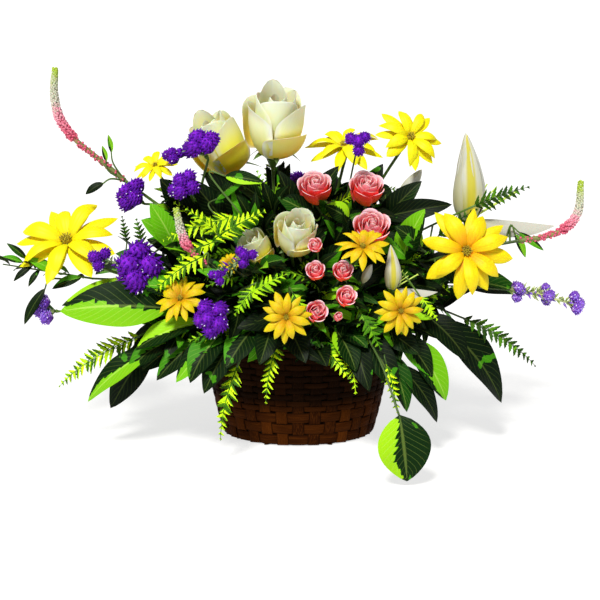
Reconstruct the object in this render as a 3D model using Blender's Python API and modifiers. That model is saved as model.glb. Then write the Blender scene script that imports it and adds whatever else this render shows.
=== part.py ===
"""A flower basket arrangement: a plaited splint basket, its liner and foam, and the stems that stand in it.

Metres, +Z up, origin at the middle of the basket's base, front towards -Y. Every bloom or head is a solid
of its own, seated on the stem that carries it. Stems, leaves and fronds that share one hole in the foam
grow together as one green bunch.
"""
import math
import random

import bmesh
import bpy
from mathutils import Matrix, Vector

PARTS = "flower_basket_arrangement"
MM = 0.001
GAP = 0.3 * MM
WELD = 0.01 * MM
UP = Vector((0, 0, 1))
GOLDEN_TURN = math.radians(137.508)

# Basket: an oval, so one ratio gives each depth from its width.
OVAL = 0.74
BASE_REACH = 84 * MM
MOUTH_REACH = 108 * MM
WALL_TOP = 112 * MM
WALL = 3 * MM
STAKES = 32
WEAVE_ROWS = 6
WEAVE_RELIEF = 0.9 * MM
RIM_RADIUS = 5 * MM
LINER_WALL = 1.2 * MM
LINER_TOP = 106 * MM

# Foam, and the holes that the bunches stand in.
FOAM_TOP = 142 * MM
FOAM_BASE_REACH = 70 * MM
FOAM_TOP_REACH = 86 * MM
HOLE_RADIUS = 6.6 * MM
HOLE_DEPTH = 40 * MM
PLUG_RADIUS = 5.3 * MM
PLUG_ABOVE = 6 * MM

# Leaves that fill the bunches, by rule.
FILL_CENTRE = Vector((0, 0, 100 * MM))
FILL_TRIES = 1400
FILL_EACH = 4
OWN_CLEARANCE = 15 * MM
FILL_SEED = 5
COLLAR_TURNS = (-0.5, 0.5)
COLLAR_LENGTH = 92 * MM
COLLAR_WIDTH = 36 * MM
TWIG_LEAVES = 6
TWIG_LEAF = 26 * MM

STEM_RADIUS = 1.9 * MM
LEAST_RISE = 42 * MM
PETIOLE_RADIUS = 1.3 * MM
STALK_OVERLAP = 0.06
STALK_RADIUS = 1.4 * MM
SPIKE_CUP = 2.2 * MM
BUD_FOOT = 1.6 * MM
BUD_HEAD = 0.5 * MM
FROND_RIB = 0.8 * MM
LEAF_THICK = 1.3 * MM
PETAL_THICK = 1.1 * MM
CLEAR = 2 * MM

# How far each tepal of a lily opens, in radians, the turn that brings the open one to the right, and the line
# of its style as parts of its length.
LILY_OPENINGS = (1.35, 0.28, 0.10, 0.16, 0.12, 0.20)
LILY_TURN = math.radians(-45)
LILY_STYLE = [(0, 0.02), (0.46, 0.36), (0.52, 0.40)]

# Radius of the cup that carries each kind of bloom, as a part of the bloom's width.
CALYX = {
    "cream_rose": 0.10,
    "small_cream_rose": 0.10,
    "pink_rose": 0.10,
    "spray_rose": 0.10,
    "rose_bud": 0.12,
    "daisy": 0.05,
    "small_daisy": 0.06,
    "statice": 0.06,
    "lily": 0.035,
    "lily_bud": 0.06,
}
COLORS = {
    "petal_cream": (0.90, 0.86, 0.60),
    "petal_pink": (0.90, 0.25, 0.32),
    "petal_yellow": (0.95, 0.85, 0.02),
    "petal_gold": (0.95, 0.66, 0.02),
    "petal_purple": (0.20, 0.02, 0.45),
    "petal_lavender": (0.45, 0.28, 0.80),
    "petal_white": (0.90, 0.90, 0.78),
    "petal_spike": (0.75, 0.35, 0.45),
    "leaf_green": (0.10, 0.30, 0.03),
    "basket_brown": (0.16, 0.06, 0.02),
    "liner_green": (0.03, 0.08, 0.04),
    "foam_green": (0.05, 0.16, 0.08),
}

# Blooms: name, kind, centre in mm, the way it faces, width in mm, and the bunch that carries it.
BLOOMS = [
    ("cream_rose_top", "cream_rose", (-26, 5, 342), (0.05, -0.35, 0.93), 82, "top"),
    ("cream_rose_behind", "cream_rose", (-88, 56, 314), (-0.45, -0.25, 0.85), 76, "top"),
    ("cream_rose_front", "small_cream_rose", (-3, -72, 236), (0.1, -0.6, 0.78), 54, "centre"),
    ("cream_rose_side", "small_cream_rose", (-44, -48, 217), (-0.4, -0.5, 0.75), 42, "centre"),
    ("pink_rose_left", "pink_rose", (18, -35, 282), (-0.05, -0.6, 0.8), 42, "pink_spray"),
    ("pink_rose_right", "pink_rose", (73, -35, 281), (0.1, -0.6, 0.8), 43, "pink_spray"),
    ("pink_rose_low", "pink_rose", (77, -75, 245), (0.05, -0.7, 0.7), 44, "pink_spray"),
    ("spray_rose_1", "spray_rose", (18, -110, 207), (-0.1, -0.75, 0.65), 24, "rose_spray"),
    ("spray_rose_2", "spray_rose", (46, -112, 207), (0.1, -0.75, 0.65), 25, "rose_spray"),
    ("spray_rose_3", "spray_rose", (49, -128, 184), (0.2, -0.8, 0.55), 25, "rose_spray"),
    ("spray_rose_4", "spray_rose", (19, -116, 165), (0.2, -0.85, 0.45), 27, "rose_spray"),
    ("spray_rose_5", "spray_rose", (18, -100, 232), (-0.2, -0.8, 0.5), 18, "rose_spray"),
    ("spray_rose_bud", "rose_bud", (41, -128, 163), (0.2, -0.8, 0.5), 16, "rose_spray"),
    ("daisy_right", "daisy", (177, -78, 222), (0.1, -0.95, 0.3), 100, "right"),
    ("daisy_top_right", "daisy", (123, 12, 332), (0.3, -0.75, 0.6), 70, "right_top"),
    ("daisy_top", "daisy", (52, 30, 320), (-0.05, -0.35, 0.95), 80, "top"),
    ("daisy_left", "daisy", (-253, -20, 222), (-0.15, -0.6, 0.8), 106, "left"),
    ("daisy_behind_left", "small_daisy", (-158, 14, 300), (-0.2, -0.5, 0.85), 46, "left_top"),
    ("daisy_front", "small_daisy", (-12, -142, 166), (0.0, -0.95, 0.25), 54, "front"),
    ("daisy_front_left", "small_daisy", (-123, -97, 175), (-0.2, -0.7, 0.65), 58, "front_left"),
    ("daisy_front_right", "small_daisy", (105, -127, 169), (0.15, -0.95, 0.2), 54, "front_right"),
    ("daisy_centre", "small_daisy", (66, -118, 234), (0.05, -0.6, 0.75), 56, "centre"),
    ("daisy_small", "small_daisy", (-72, -82, 210), (-0.2, -0.7, 0.6), 26, "front_left"),
    ("daisy_back_left", "small_daisy", (-92, 118, 232), (-0.4, 0.8, 0.45), 58, "back_left"),
    ("daisy_back_right", "small_daisy", (86, 124, 222), (0.3, 0.85, 0.4), 58, "back_right"),
    ("statice_top_left", "statice", (-106, -12, 326), (-0.4, -0.3, 0.85), 46, "statice_spray"),
    ("statice_mid_left", "statice", (-122, -42, 286), (-0.4, -0.6, 0.7), 38, "statice_spray"),
    ("statice_far_left", "statice", (-181, -14, 272), (-0.7, -0.3, 0.6), 42, "statice_spray"),
    ("statice_top", "statice", (63, -50, 333), (0.0, -0.9, 0.4), 30, "right_top"),
    ("statice_front_low", "statice", (-89, -118, 159), (-0.4, -0.85, 0.2), 42, "front_left"),
    ("statice_back", "statice", (-6, 112, 262), (0.0, 0.6, 0.8), 48, "back"),
    ("lavender_left", "statice", (-278, -30, 146), (-0.9, -0.2, 0.1), 36, "left"),
    ("white_lily", "lily", (188, 8, 238), (0.08, -0.08, 0.99), 98, "right"),
    ("white_lily_small", "lily", (99, -88, 182), (0.08, -0.08, 0.99), 48, "front_right"),
    ("lily_bud_high", "lily_bud", (124, 18, 277), (0.55, -0.1, 0.8), 46, "right_top"),
    ("lily_bud_low", "lily_bud", (72, -92, 200), (0.35, -0.3, 0.85), 26, "front_right"),
]
# Sprays of several statice heads on one branched stalk: name, facing, heads (centre and width), and bunch.
SPRAYS = [
    ("statice_left", (-0.6, -0.6, 0.5), [((-171, -66, 200), 62), ((-212, -60, 210), 30)], "left"),
    ("statice_front_high", (-0.3, -0.8, 0.5),
     [((-54, -108, 222), 26), ((-82, -110, 202), 22)], "front_left"),
    ("lavender_right", (0.9, -0.2, 0.0),
     [((238, -40, 171), 24), ((270, -40, 166), 24), ((302, -40, 156), 26)], "right_low"),
]
# Spikes: name, the points that the flowering end runs through in mm, and its bunch.
SPIKES = [
    ("veronica_left", [(-191, 5, 285), (-217, 2, 308), (-242, -5, 331), (-258, -5, 354),
                       (-263, -5, 380), (-261, -5, 406)], "left_top"),
    ("veronica_front", [(-96, -80, 206), (-111, -80, 221), (-121, -80, 238), (-127, -80, 266)],
     "front_left"),
    ("veronica_right", [(240, -30, 224), (268, -36, 230), (290, -34, 240), (303, -28, 256),
                        (306, -20, 286)], "right"),
]
# Bunches: where each stands in the foam in mm.
ROOTS = {
    "top": (-10, 16), "centre": (6, -14), "front": (4, -46), "front_left": (-30, -40),
    "front_right": (38, -34), "left_top": (-38, 8), "left": (-64, -4), "left_low": (-57, -28),
    "right_low": (62, -22), "right": (68, 6), "right_top": (36, 14), "back_left": (-38, 38),
    "back": (-2, 46), "back_right": (36, 40),
}
# Sprays whose blooms branch from one fork: the bunch, and the fork in mm.
FORKS = {
    "rose_spray": ("front", (24, -82, 168)),
    "pink_spray": ("centre", (48, -32, 226)),
    "statice_spray": ("left_top", (-112, -6, 258)),
}
# Twigs with small leaves: bunch, start and end of the leafy stretch in mm.
TWIGS = [("left", (-225, -30, 182), (-322, -30, 198))]
# Leaves: bunch, base and tip in mm, width in mm, roll in degrees, arch as a part of the length.
LEAVES = [
    ("left", (-140, -52, 167), (-254, -62, 159), 44, 25, 0.09),
    ("left_low", (-150, -84, 118), (-226, -84, 58), 30, 20, 0.10),
    ("left_low", (-158, -48, 120), (-206, -56, 42), 34, -10, 0.10),
    ("left", (-128, -34, 214), (-168, -48, 250), 34, 20, 0.08),
    ("left_top", (-120, -6, 250), (-150, -20, 290), 30, 0, 0.08),
    ("left_low", (-128, -72, 126), (-182, -96, 92), 30, 25, 0.12),
    ("front_left", (-78, -92, 138), (-112, -128, 92), 34, 15, 0.14),
    ("right_low", (150, -58, 142), (222, -62, 50), 48, -25, 0.10),
    ("front_right", (118, -84, 128), (158, -92, 62), 34, -15, 0.10),
    ("front_right", (104, -98, 104), (148, -100, 40), 26, -20, 0.12),
    ("front_right", (102, -178, 74), (110, -186, 6), 54, 0, 0.08),
    ("right_top", (112, -48, 206), (134, -62, 264), 32, -20, 0.08),
    ("centre", (-34, -24, 262), (-78, -40, 294), 28, 20, 0.08),
    ("front", (20, -88, 118), (30, -128, 110), 28, 10, 0.12),
    ("front", (46, -80, 134), (72, -122, 128), 26, -10, 0.12),
    ("right", (176, 0, 170), (250, -2, 158), 36, -20, 0.10),
]
# Fronds: bunch, base and tip in mm, width in mm, roll in degrees, arch.
FRONDS = [
    ("left_low", (-170, -56, 124), (-262, -56, 66), 34, 0, 0.16),
    ("left_top", (-52, -50, 252), (-144, -64, 230), 34, 20, 0.10),
    ("front_left", (-62, -106, 108), (-82, -118, 26), 26, 15, 0.12),
    ("front", (-20, -96, 132), (-34, -118, 66), 24, 15, 0.12),
    ("front", (52, -96, 122), (60, -122, 78), 22, -10, 0.12),
    ("right_low", (178, -46, 142), (260, -52, 88), 28, 0, 0.16),
    ("right_top", (188, -34, 262), (246, -50, 286), 26, 10, 0.10),
    ("back", (-30, 92, 200), (-62, 160, 150), 40, 0, 0.16),
    ("back_right", (62, 86, 168), (116, 158, 112), 40, 0, 0.16),
    ("back_left", (-90, 74, 160), (-168, 124, 120), 40, 0, 0.16),
]


# ---------------------------------------------------------------- tools

def clear_scene():
    for thing in list(bpy.data.objects):
        bpy.data.objects.remove(thing, do_unlink=True)


def mm(values):
    """A point or length given in mm, in metres."""
    return Vector(values) * MM


def facing_matrix(centre, facing, twist=0.0):
    """Stands a bloom that is made looking up +Z at its place, looking along facing."""
    turn = Vector(facing).normalized().to_track_quat("Z", "Y").to_matrix().to_4x4()
    return Matrix.Translation(centre) @ turn @ Matrix.Rotation(twist, 4, "Z")


def mesh_from(bm, name="piece"):
    mesh = bpy.data.meshes.new(name)
    bm.to_mesh(mesh)
    bm.free()
    return mesh


def sheet_normal(shape, u, v):
    """The way the surface shape(u, v) faces, from its two slopes."""
    step = 0.01
    along = shape(min(u + step, 1), v) - shape(max(u - step, 0), v)
    across = shape(u, min(v + step, 1)) - shape(u, max(v - step, -1))
    return across.cross(along).normalized()


def blade(rows, columns, shape, thick):
    """A closed blade of the arched surface shape(u, v): two like sheets that meet at a thin rim.

    u runs from root to tip and v from -1 to 1 across. Both ends come to a point.
    """
    bm = bmesh.new()
    bmesh.ops.create_grid(bm, x_segments=columns, y_segments=rows, size=1)
    bmesh.ops.triangulate(bm, faces=bm.faces[:])
    places = {vert: (vert.co.y / 2 + 0.5, vert.co.x) for vert in bm.verts}
    copied = bmesh.ops.duplicate(bm, geom=bm.faces[:])
    under = [face for face in copied["geom"] if isinstance(face, bmesh.types.BMFace)]
    bmesh.ops.reverse_faces(bm, faces=under)
    twins = {copied["vert_map"][vert]: place for vert, place in places.items()}
    for side, group in ((0.5, places), (-0.5, twins)):
        for vert, (u, v) in group.items():
            full = math.sqrt(max(0, 4 * u * (1 - u))) * (1 - v * v)
            vert.co = shape(u, v) + sheet_normal(shape, u, v) * (side * thick * full)
    bmesh.ops.remove_doubles(bm, verts=bm.verts[:], dist=WELD)
    return mesh_from(bm)


def placed(mesh, matrix):
    """A copy of a mesh, moved to its place."""
    copy = mesh.copy()
    copy.transform(matrix)
    return copy


def cone(foot, head, height, sides=6, base=0.0):
    """A cone frustum standing on base along +Z."""
    bm = bmesh.new()
    bmesh.ops.create_cone(bm, cap_ends=True, segments=sides, radius1=foot, radius2=head, depth=height)
    bmesh.ops.translate(bm, verts=bm.verts[:], vec=(0, 0, base + height / 2))
    return mesh_from(bm)


def ball(reach, height, sides=6, rings=4, base=0.0):
    """A round body, reach wide each way and height tall, with its foot at base."""
    bm = bmesh.new()
    bmesh.ops.create_uvsphere(bm, u_segments=sides, v_segments=rings, radius=1)
    bmesh.ops.scale(bm, verts=bm.verts[:], vec=(reach, reach, height / 2))
    bmesh.ops.translate(bm, verts=bm.verts[:], vec=(0, 0, base + height / 2))
    return mesh_from(bm)


def tube(points, radii, name="tube"):
    """A four-sided stem through points, closed at both ends."""
    data = bpy.data.curves.new(name, "CURVE")
    data.dimensions = "3D"
    data.bevel_depth = 1
    data.bevel_resolution = 0
    data.use_fill_caps = True
    line = data.splines.new("POLY")
    line.points.add(len(points) - 1)
    for point, place, radius in zip(line.points, points, radii):
        point.co = (*place, 1)
        point.radius = radius
    guide = bpy.data.objects.new(name, data)
    bpy.context.scene.collection.objects.link(guide)
    bpy.context.view_layer.update()
    graph = bpy.context.evaluated_depsgraph_get()
    mesh = bpy.data.meshes.new_from_object(guide.evaluated_get(graph))
    bpy.data.objects.remove(guide)
    bm = bmesh.new()
    bm.from_mesh(mesh)
    bmesh.ops.remove_doubles(bm, verts=bm.verts[:], dist=WELD)
    return mesh_from(bm)


def bezier(points, t):
    """The place at t on the cubic curve with these four handles."""
    a, b, c, d = points
    s = 1 - t
    return a * s ** 3 + b * 3 * s * s * t + c * 3 * s * t * t + d * t ** 3


def stem_points(root, end, arrive, steps=3):
    """A stem that leaves its hole upwards and arrives at its end along arrive."""
    away = (end - root).to_2d()
    reach = (end - root).length
    start = root + (away.normalized() * min(2.6 * MM, away.length)).to_3d() + UP * (3 * MM)
    rise = max(LEAST_RISE, 0.3 * (end.z - root.z))
    handles = (start, start + UP * rise, end - arrive * (0.3 * reach), end)
    return [bezier(handles, step / steps) for step in range(steps + 1)]


def largest_body(mesh):
    """Keeps the largest closed body, so that no sealed hollow or loose scrap stays."""
    bm = bmesh.new()
    bm.from_mesh(mesh)
    left = set(bm.faces)
    bodies = []
    while left:
        front = [left.pop()]
        body = set(front)
        while front:
            near = {face for edge in front.pop().edges for face in edge.link_faces} & left
            left -= near
            body |= near
            front += near
        bodies.append(body)
    bodies.sort(key=lambda body: sum(face.calc_area() for face in body))
    for body in bodies[:-1]:
        bmesh.ops.delete(bm, geom=list(body), context="FACES")
    bm.to_mesh(mesh)
    bm.free()


def material(name, roughness=0.6):
    color = COLORS[name]
    made = bpy.data.materials.get(name) or bpy.data.materials.new(name)
    made.use_nodes = True
    shader = made.node_tree.nodes["Principled BSDF"]
    shader.inputs["Base Color"].default_value = (*color, 1)
    shader.inputs["Roughness"].default_value = roughness
    shader.inputs["Metallic"].default_value = 0.0
    made.diffuse_color = (*color, 1)
    return made


def add_node(name, mesh, finish):
    """One named sub-part of the arrangement."""
    mesh.name = name
    mesh.materials.clear()
    mesh.materials.append(finish)
    obj = bpy.data.objects.new(name, mesh)
    bpy.data.collections[PARTS].objects.link(obj)
    return obj


def joined(meshes, name="joined"):
    """One solid from meshes that cross, by a single Boolean union on a collection."""
    if len(meshes) == 1:
        return meshes[0]
    pile = bpy.data.collections.new(name)
    bpy.context.scene.collection.children.link(pile)
    first = bpy.data.objects.new(name, meshes[0])
    bpy.context.scene.collection.objects.link(first)
    for mesh in meshes[1:]:
        pile.objects.link(bpy.data.objects.new(name + "_piece", mesh))
    union = first.modifiers.new("join", "BOOLEAN")
    union.operation = "UNION"
    union.operand_type = "COLLECTION"
    union.solver = "EXACT"
    union.collection = pile
    bpy.context.view_layer.update()
    graph = bpy.context.evaluated_depsgraph_get()
    made = bpy.data.meshes.new_from_object(first.evaluated_get(graph))
    for piece in [*pile.objects, first]:
        bpy.data.objects.remove(piece)
    bpy.data.collections.remove(pile)
    largest_body(made)
    return made


# ---------------------------------------------------------------- blooms, made looking up +Z

def rose_petal(reach, turn, rank, span, rows, columns):
    """One petal of a rose that is 2 x reach wide. rank runs from 0 at the heart to 1 outermost."""
    bulge = reach * (0.26 + 0.56 * rank)
    flare = reach * 0.16 * rank ** 3
    foot = -0.84 * reach
    top = reach * (0.84 - 0.24 * rank)
    curl = reach * 0.16 * rank ** 4
    tuck = reach * 0.055

    def shape(u, v):
        u = 0.5 - 0.5 * math.cos(u * math.pi)
        side = v * math.sqrt(max(0, 1 - u ** 5)) * min(1, u * 4)
        swell = (1 - (1 - u) ** 3) ** 0.6
        out = reach * 0.06 + (bulge - reach * 0.06) * swell + flare * u ** 4 + tuck * side
        angle = turn + span * side
        lift = foot + (top - foot) * u - curl * u ** 6 - reach * 0.10 * side * side
        return Vector((out * math.cos(angle), out * math.sin(angle), lift))

    return blade(rows, columns, shape, PETAL_THICK)


def rose(width, layers):
    """layers: how many petals, rank, first turn, rows and columns of each ring."""
    reach = width / 2
    heart = cone(0.20 * reach, 0.17 * reach, 1.40 * reach, 5, -0.86 * reach)
    pieces = [heart]
    for count, rank, start, rows, columns in layers:
        for step in range(count):
            turn = start + step * math.tau / count
            pieces.append(rose_petal(reach, turn, rank, 0.98 * math.pi / count, rows, columns))
    return pieces, 0.86 * reach


def cream_rose(width):
    return rose(width, [(5, 1.0, 0.0, 3, 3), (4, 0.62, 0.5, 3, 2), (3, 0.28, 0.2, 2, 2)])


def small_cream_rose(width):
    return rose(width, [(5, 0.9, 0.0, 3, 2), (3, 0.45, 0.5, 3, 2)])


def pink_rose(width):
    return rose(width, [(5, 1.0, 0.2, 3, 2), (3, 0.50, 0.7, 3, 2)])


def spray_rose(width):
    return rose(width, [(4, 0.9, 0.2, 3, 2), (2, 0.40, 0.7, 3, 2)])


def rose_bud(width):
    reach = width / 2
    pieces = [ball(0.6 * reach, 2.0 * reach, 6, 3, -0.86 * reach)]
    for step in range(3):
        pieces.append(rose_petal(reach, step * math.tau / 3, 0.9, 0.8, 3, 2))
    return pieces, 0.86 * reach


def daisy_petal(reach, turn, wide, lift, droop, rows):
    """A broad ray petal that rises, then droops to a round tip."""
    inner = reach * 0.12

    def shape(u, v):
        out = inner + (reach - inner) * u
        full = math.sin(math.pi * min(1, 0.12 + 0.86 * u) ** 1.4) ** 0.8
        half = wide * full if 0 < u < 1 else 0
        high = lift * math.sin(u * math.pi * 0.8) - droop * u * u - 0.35 * half * v * v
        spot = Vector((out, half * v, high))
        spot.rotate(Matrix.Rotation(turn, 3, "Z"))
        return spot

    return blade(rows, 2, shape, PETAL_THICK)


def daisy_bloom(width, counts, rows):
    reach = width / 2
    disc = 0.20 * reach
    pieces = [ball(disc, 0.36 * reach, 6, 3, -0.20 * reach)]
    for layer, count in enumerate(counts):
        for step in range(count):
            sway = math.sin(2.4 * step + 1.3 * layer + 0.7)
            turn = (step + 0.5 * layer) * math.tau / count + 0.07 * sway
            size = reach * (1 - 0.14 * layer + 0.05 * sway)
            lift = reach * (0.08 + 0.16 * layer + 0.03 * sway)
            pieces.append(daisy_petal(size, turn, 0.22 * reach, lift, 0.16 * reach, rows))
    return pieces, 0.20 * reach


def daisy(width):
    return daisy_bloom(width, (7, 4), 3)


def small_daisy(width):
    return daisy_bloom(width, (7,), 3)


def statice(width):
    """A dense head of papery funnels on a small round core."""
    reach = width / 2
    floret = max(3.6 * MM, 0.24 * reach)
    count = 6 if reach < 20 * MM else 10
    pieces = [ball(0.62 * reach, 1.1 * reach, 6, 3, -0.62 * reach)]
    for step in range(count):
        height = 1 - 1.35 * (step + 0.5) / count
        side = math.sqrt(1 - height * height)
        turn = step * GOLDEN_TURN
        outward = Vector((side * math.cos(turn), side * math.sin(turn), height))
        funnel = cone(0, floret, 0.60 * reach, 3, 0.40 * reach)
        pieces.append(placed(funnel, facing_matrix(Vector(), outward)))
    return pieces, 0.62 * reach


def statice_spray(facing, heads):
    """Several heads on one stalk that branches from the first of them."""
    first = mm(heads[0][0])
    pieces = []
    for centre, width in heads:
        matrix = facing_matrix(mm(centre), facing, 0.6 * len(pieces))
        pieces += [placed(piece, matrix) for piece in statice(width * MM)[0]]
        if centre != heads[0][0]:
            pieces.append(tube([first, mm(centre)], [STALK_RADIUS, STALK_RADIUS]))
    return pieces


def lily_tepal(reach, turn, wide, open_angle, rows):
    def shape(u, v):
        half = wide * math.sin(math.pi * u ** 0.8) ** 0.9
        bend = open_angle * (0.55 + 0.6 * u)
        out = reach * (0.04 + 0.96 * u) * math.sin(bend)
        high = reach * u * math.cos(bend)
        cupped = 0.4 * half * v * v
        spot = Vector((out - cupped * math.cos(bend), half * v, high + cupped * math.sin(bend)))
        spot.rotate(Matrix.Rotation(turn, 3, "Z"))
        return spot

    return blade(rows, 2, shape, PETAL_THICK)


def lily(width):
    """Six tepals, most of them still upright, and a knobbed style, on a small cup."""
    reach = width
    pieces = [cone(0.03 * reach, 0.07 * reach, 0.12 * reach, 6, -0.06 * reach)]
    for step, opening in enumerate(LILY_OPENINGS):
        wide = reach * (0.15 if opening > 1 else 0.17)
        pieces.append(lily_tepal(reach, step * math.tau / 6, wide, opening, 3 if opening > 1 else 2))
    style = [Vector((out * reach, 0, high * reach)) for out, high in LILY_STYLE]
    pieces.append(tube(style, [0.018 * reach, 0.018 * reach, 0.035 * reach]))
    return pieces, 0.06 * reach


def lily_bud(width):
    """A long closed bud: six folded tepals make six soft ribs."""
    return [ball(0.17 * width, width, 6, 6, -width / 2)], 0.50 * width


BLOOM_SHAPES = {
    "cream_rose": (cream_rose, "petal_cream"), "small_cream_rose": (small_cream_rose, "petal_cream"),
    "pink_rose": (pink_rose, "petal_pink"), "spray_rose": (spray_rose, "petal_pink"),
    "rose_bud": (rose_bud, "petal_pink"), "daisy": (daisy, "petal_yellow"),
    "small_daisy": (small_daisy, "petal_gold"), "statice": (statice, "petal_purple"),
    "lily": (lily, "petal_white"), "lily_bud": (lily_bud, "petal_white"),
}


def flower_spike(points):
    """A tapering spike whose small buds stand out all round it."""
    count = len(points)
    pieces = [tube(points, [(2.6 - 1.6 * step / (count - 1)) * MM for step in range(count)])]
    buds = 2 * count
    for step in range(buds):
        along = (step + 1) / (buds + 0.5) * (count - 1)
        first = int(along)
        axis = (points[first + 1] - points[first]).normalized()
        place = points[first].lerp(points[first + 1], along - first)
        out = axis.orthogonal().normalized()
        out.rotate(Matrix.Rotation(step * GOLDEN_TURN, 3, axis))
        size = (5.4 - 2.4 * step / buds) * MM
        bud = cone(BUD_FOOT, BUD_HEAD, size, 3)
        pieces.append(placed(bud, facing_matrix(place, out + axis * 0.5)))
    return pieces


# ---------------------------------------------------------------- greenery

def leaf_frame(base, tip, roll, lean=1.0):
    """Along, across and up directions of a blade that faces up and leans out, rolled about its length."""
    along = (tip - base).normalized()
    face = UP * 0.7 + Vector((0, -lean if tip.y < 0 else lean, 0))
    across = along.cross(face).normalized()
    across.rotate(Matrix.Rotation(math.radians(roll), 3, along))
    return along, across, across.cross(along)


def leaf(base, tip, width, roll=0, arch=0.1, rows=4, lean=1.0):
    """A pointed leaf, folded a little along its rib and arched from base to tip."""
    along, across, upward = leaf_frame(base, tip, roll, lean)
    length = (tip - base).length

    def shape(u, v):
        half = width / 2 * math.sin(math.pi * u ** 0.85) ** 0.8 if 0 < u < 1 else 0
        high = length * arch * 4 * u * (1 - u) + 0.25 * half * abs(v)
        return base + along * (length * u) + across * (half * v) + upward * high

    return blade(rows, 2, shape, LEAF_THICK)


def frond(base, tip, width, roll=0, arch=0.15, pairs=6):
    """A fern frond: leaflets cut to the rib in one thin arched blade."""
    along, across, upward = leaf_frame(base, tip, roll)
    length = (tip - base).length
    rows = 2 * pairs

    def shape(u, v):
        cut = round(u * rows) % 2 == 0
        half = FROND_RIB if cut else width / 2 * (1 - u) ** 0.6 * min(1, 0.5 + 3 * u)
        half = 0 if u in (0, 1) else half
        ahead = 0 if cut else 0.30 * half * abs(v)
        high = length * arch * 4 * u * (1 - u) - 0.20 * half * abs(v)
        return base + along * (length * u + ahead) + across * (half * v) + upward * high

    return blade(rows, 2, shape, LEAF_THICK)


class Bunch:
    """The green pieces that stand in one hole, with the room that they take up."""

    def __init__(self, name):
        x, y = ROOTS[name]
        self.name = name
        self.root = Vector((x * MM, y * MM, FOAM_TOP))
        depth = HOLE_DEPTH - GAP
        plug = cone(PLUG_RADIUS, PLUG_RADIUS * 0.8, depth + PLUG_ABOVE, 6, -depth)
        self.pieces = [placed(plug, Matrix.Translation(self.root))]
        self.room = [(self.root, PLUG_RADIUS + GAP)]
        self.stems = []

    def add_stem(self, end, arrive, radius, cup=0.0, fork=None):
        """A stem to end, from the hole or a fork. With a cup, its last stretch widens to that radius."""
        neck = end - arrive * (1.8 * cup)
        points = [fork, neck] if fork else stem_points(self.root, neck, arrive)
        radii = [radius] * len(points)
        if cup:
            points.append(end)
            radii.append(cup)
        self.pieces.append(tube(points, radii))
        self.stems.append(points)
        self.room += stem_room(points, radius)

    def add_bloom_stem(self, centre, facing, foot, calyx, fork=None):
        """A stem whose cup ends a hair below the foot of its bloom."""
        facing = Vector(facing).normalized()
        end = mm(centre) - facing * (foot + GAP)
        self.add_stem(end, facing, min(STEM_RADIUS, 0.6 * calyx), calyx, fork)

    def add_leaf(self, base, tip, width, roll, arch):
        self.add_blade(leaf, base, tip, width, roll, arch)

    def add_frond(self, base, tip, width, roll, arch):
        self.add_blade(frond, base, tip, width, roll, arch)

    def add_blade(self, shape, base, tip, width, roll, arch):
        """A leaf or frond whose own stalk runs a little way up its rib."""
        along, _, upward = leaf_frame(base, tip, roll)
        slope = along + upward * (4 * arch)
        self.pieces.append(shape(base, tip, width, roll, arch))
        seat = base + slope * (STALK_OVERLAP * (tip - base).length)
        self.add_stem(seat, slope.normalized(), PETIOLE_RADIUS)
        self.room += blade_room(base, tip, width)

    def add_side_leaf(self, base, tip, width, roll, lean=0.4):
        """A leaf that grows straight from one of the bunch's stems."""
        self.pieces.append(leaf(base, tip, width, roll, 0.12, 3, lean))
        self.room += blade_room(base, tip, width)

    def add_twig(self, start, end):
        """A thin stem with small leaves on alternate sides of its last stretch."""
        along = (end - start).normalized()
        self.add_stem(start, along, PETIOLE_RADIUS)
        self.pieces.append(tube([start - along * MM, end], [PETIOLE_RADIUS, 0.6 * PETIOLE_RADIUS]))
        across = along.cross(UP)
        for step in range(TWIG_LEAVES):
            side = (-1) ** step
            base = start.lerp(end, (step + 0.5) / TWIG_LEAVES)
            tip = base + (along * 0.6 + across * (0.5 * side) - UP * (0.35 * side)) * TWIG_LEAF
            self.add_side_leaf(base, tip, 0.36 * TWIG_LEAF, 0)


def stem_room(points, radius):
    """Small balls that fill a stem: (place, radius)."""
    room = []
    for first, last in zip(points, points[1:]):
        steps = max(1, round((last - first).length / (6 * MM)))
        room += [(first.lerp(last, step / steps), radius) for step in range(1, steps + 1)]
    return room


def blade_room(base, tip, width):
    """Small balls that fill a leaf: (place, radius)."""
    steps = 7
    room = []
    for step in range(1, steps):
        along = step / steps
        room.append((base.lerp(tip, along), 0.45 * width * math.sin(math.pi * along)))
    return room


def clear_of(room, others, margin):
    """Whether every ball of room stands at least margin away from every other."""
    return all((a - b).length > ra + rb + margin for a, ra in room for b, rb in others)


def room_of_others(bunches, bunch):
    """The room that every other bunch takes up."""
    return [place for other in bunches if other is not bunch for place in other.room]


def own_room(bunch, base, margin):
    """The room of the bunch's own pieces, apart from those next to base."""
    return [place for place in bunch.room if (place[0] - base).length > margin]


def bloom_room():
    """A ball round every bloom and a row of balls along every spike."""
    room = []
    for _, kind, centre, facing, width, _ in BLOOMS:
        reach = width / 2 * MM
        if kind == "lily":
            room.append((mm(centre) + Vector(facing).normalized() * reach, 1.4 * reach))
        elif kind == "lily_bud":
            aim = Vector(facing).normalized() * (0.3 * width * MM)
            room += [(mm(centre) + aim * side, 0.3 * width * MM) for side in (-1, 0, 1)]
        else:
            room.append((mm(centre), reach))
    for _, _, heads, _ in SPRAYS:
        room += [(mm(centre), width / 2 * MM) for centre, width in heads]
    for _, points, _ in SPIKES:
        room += stem_room([mm(point) for point in points], 7 * MM)
    return room


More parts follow.
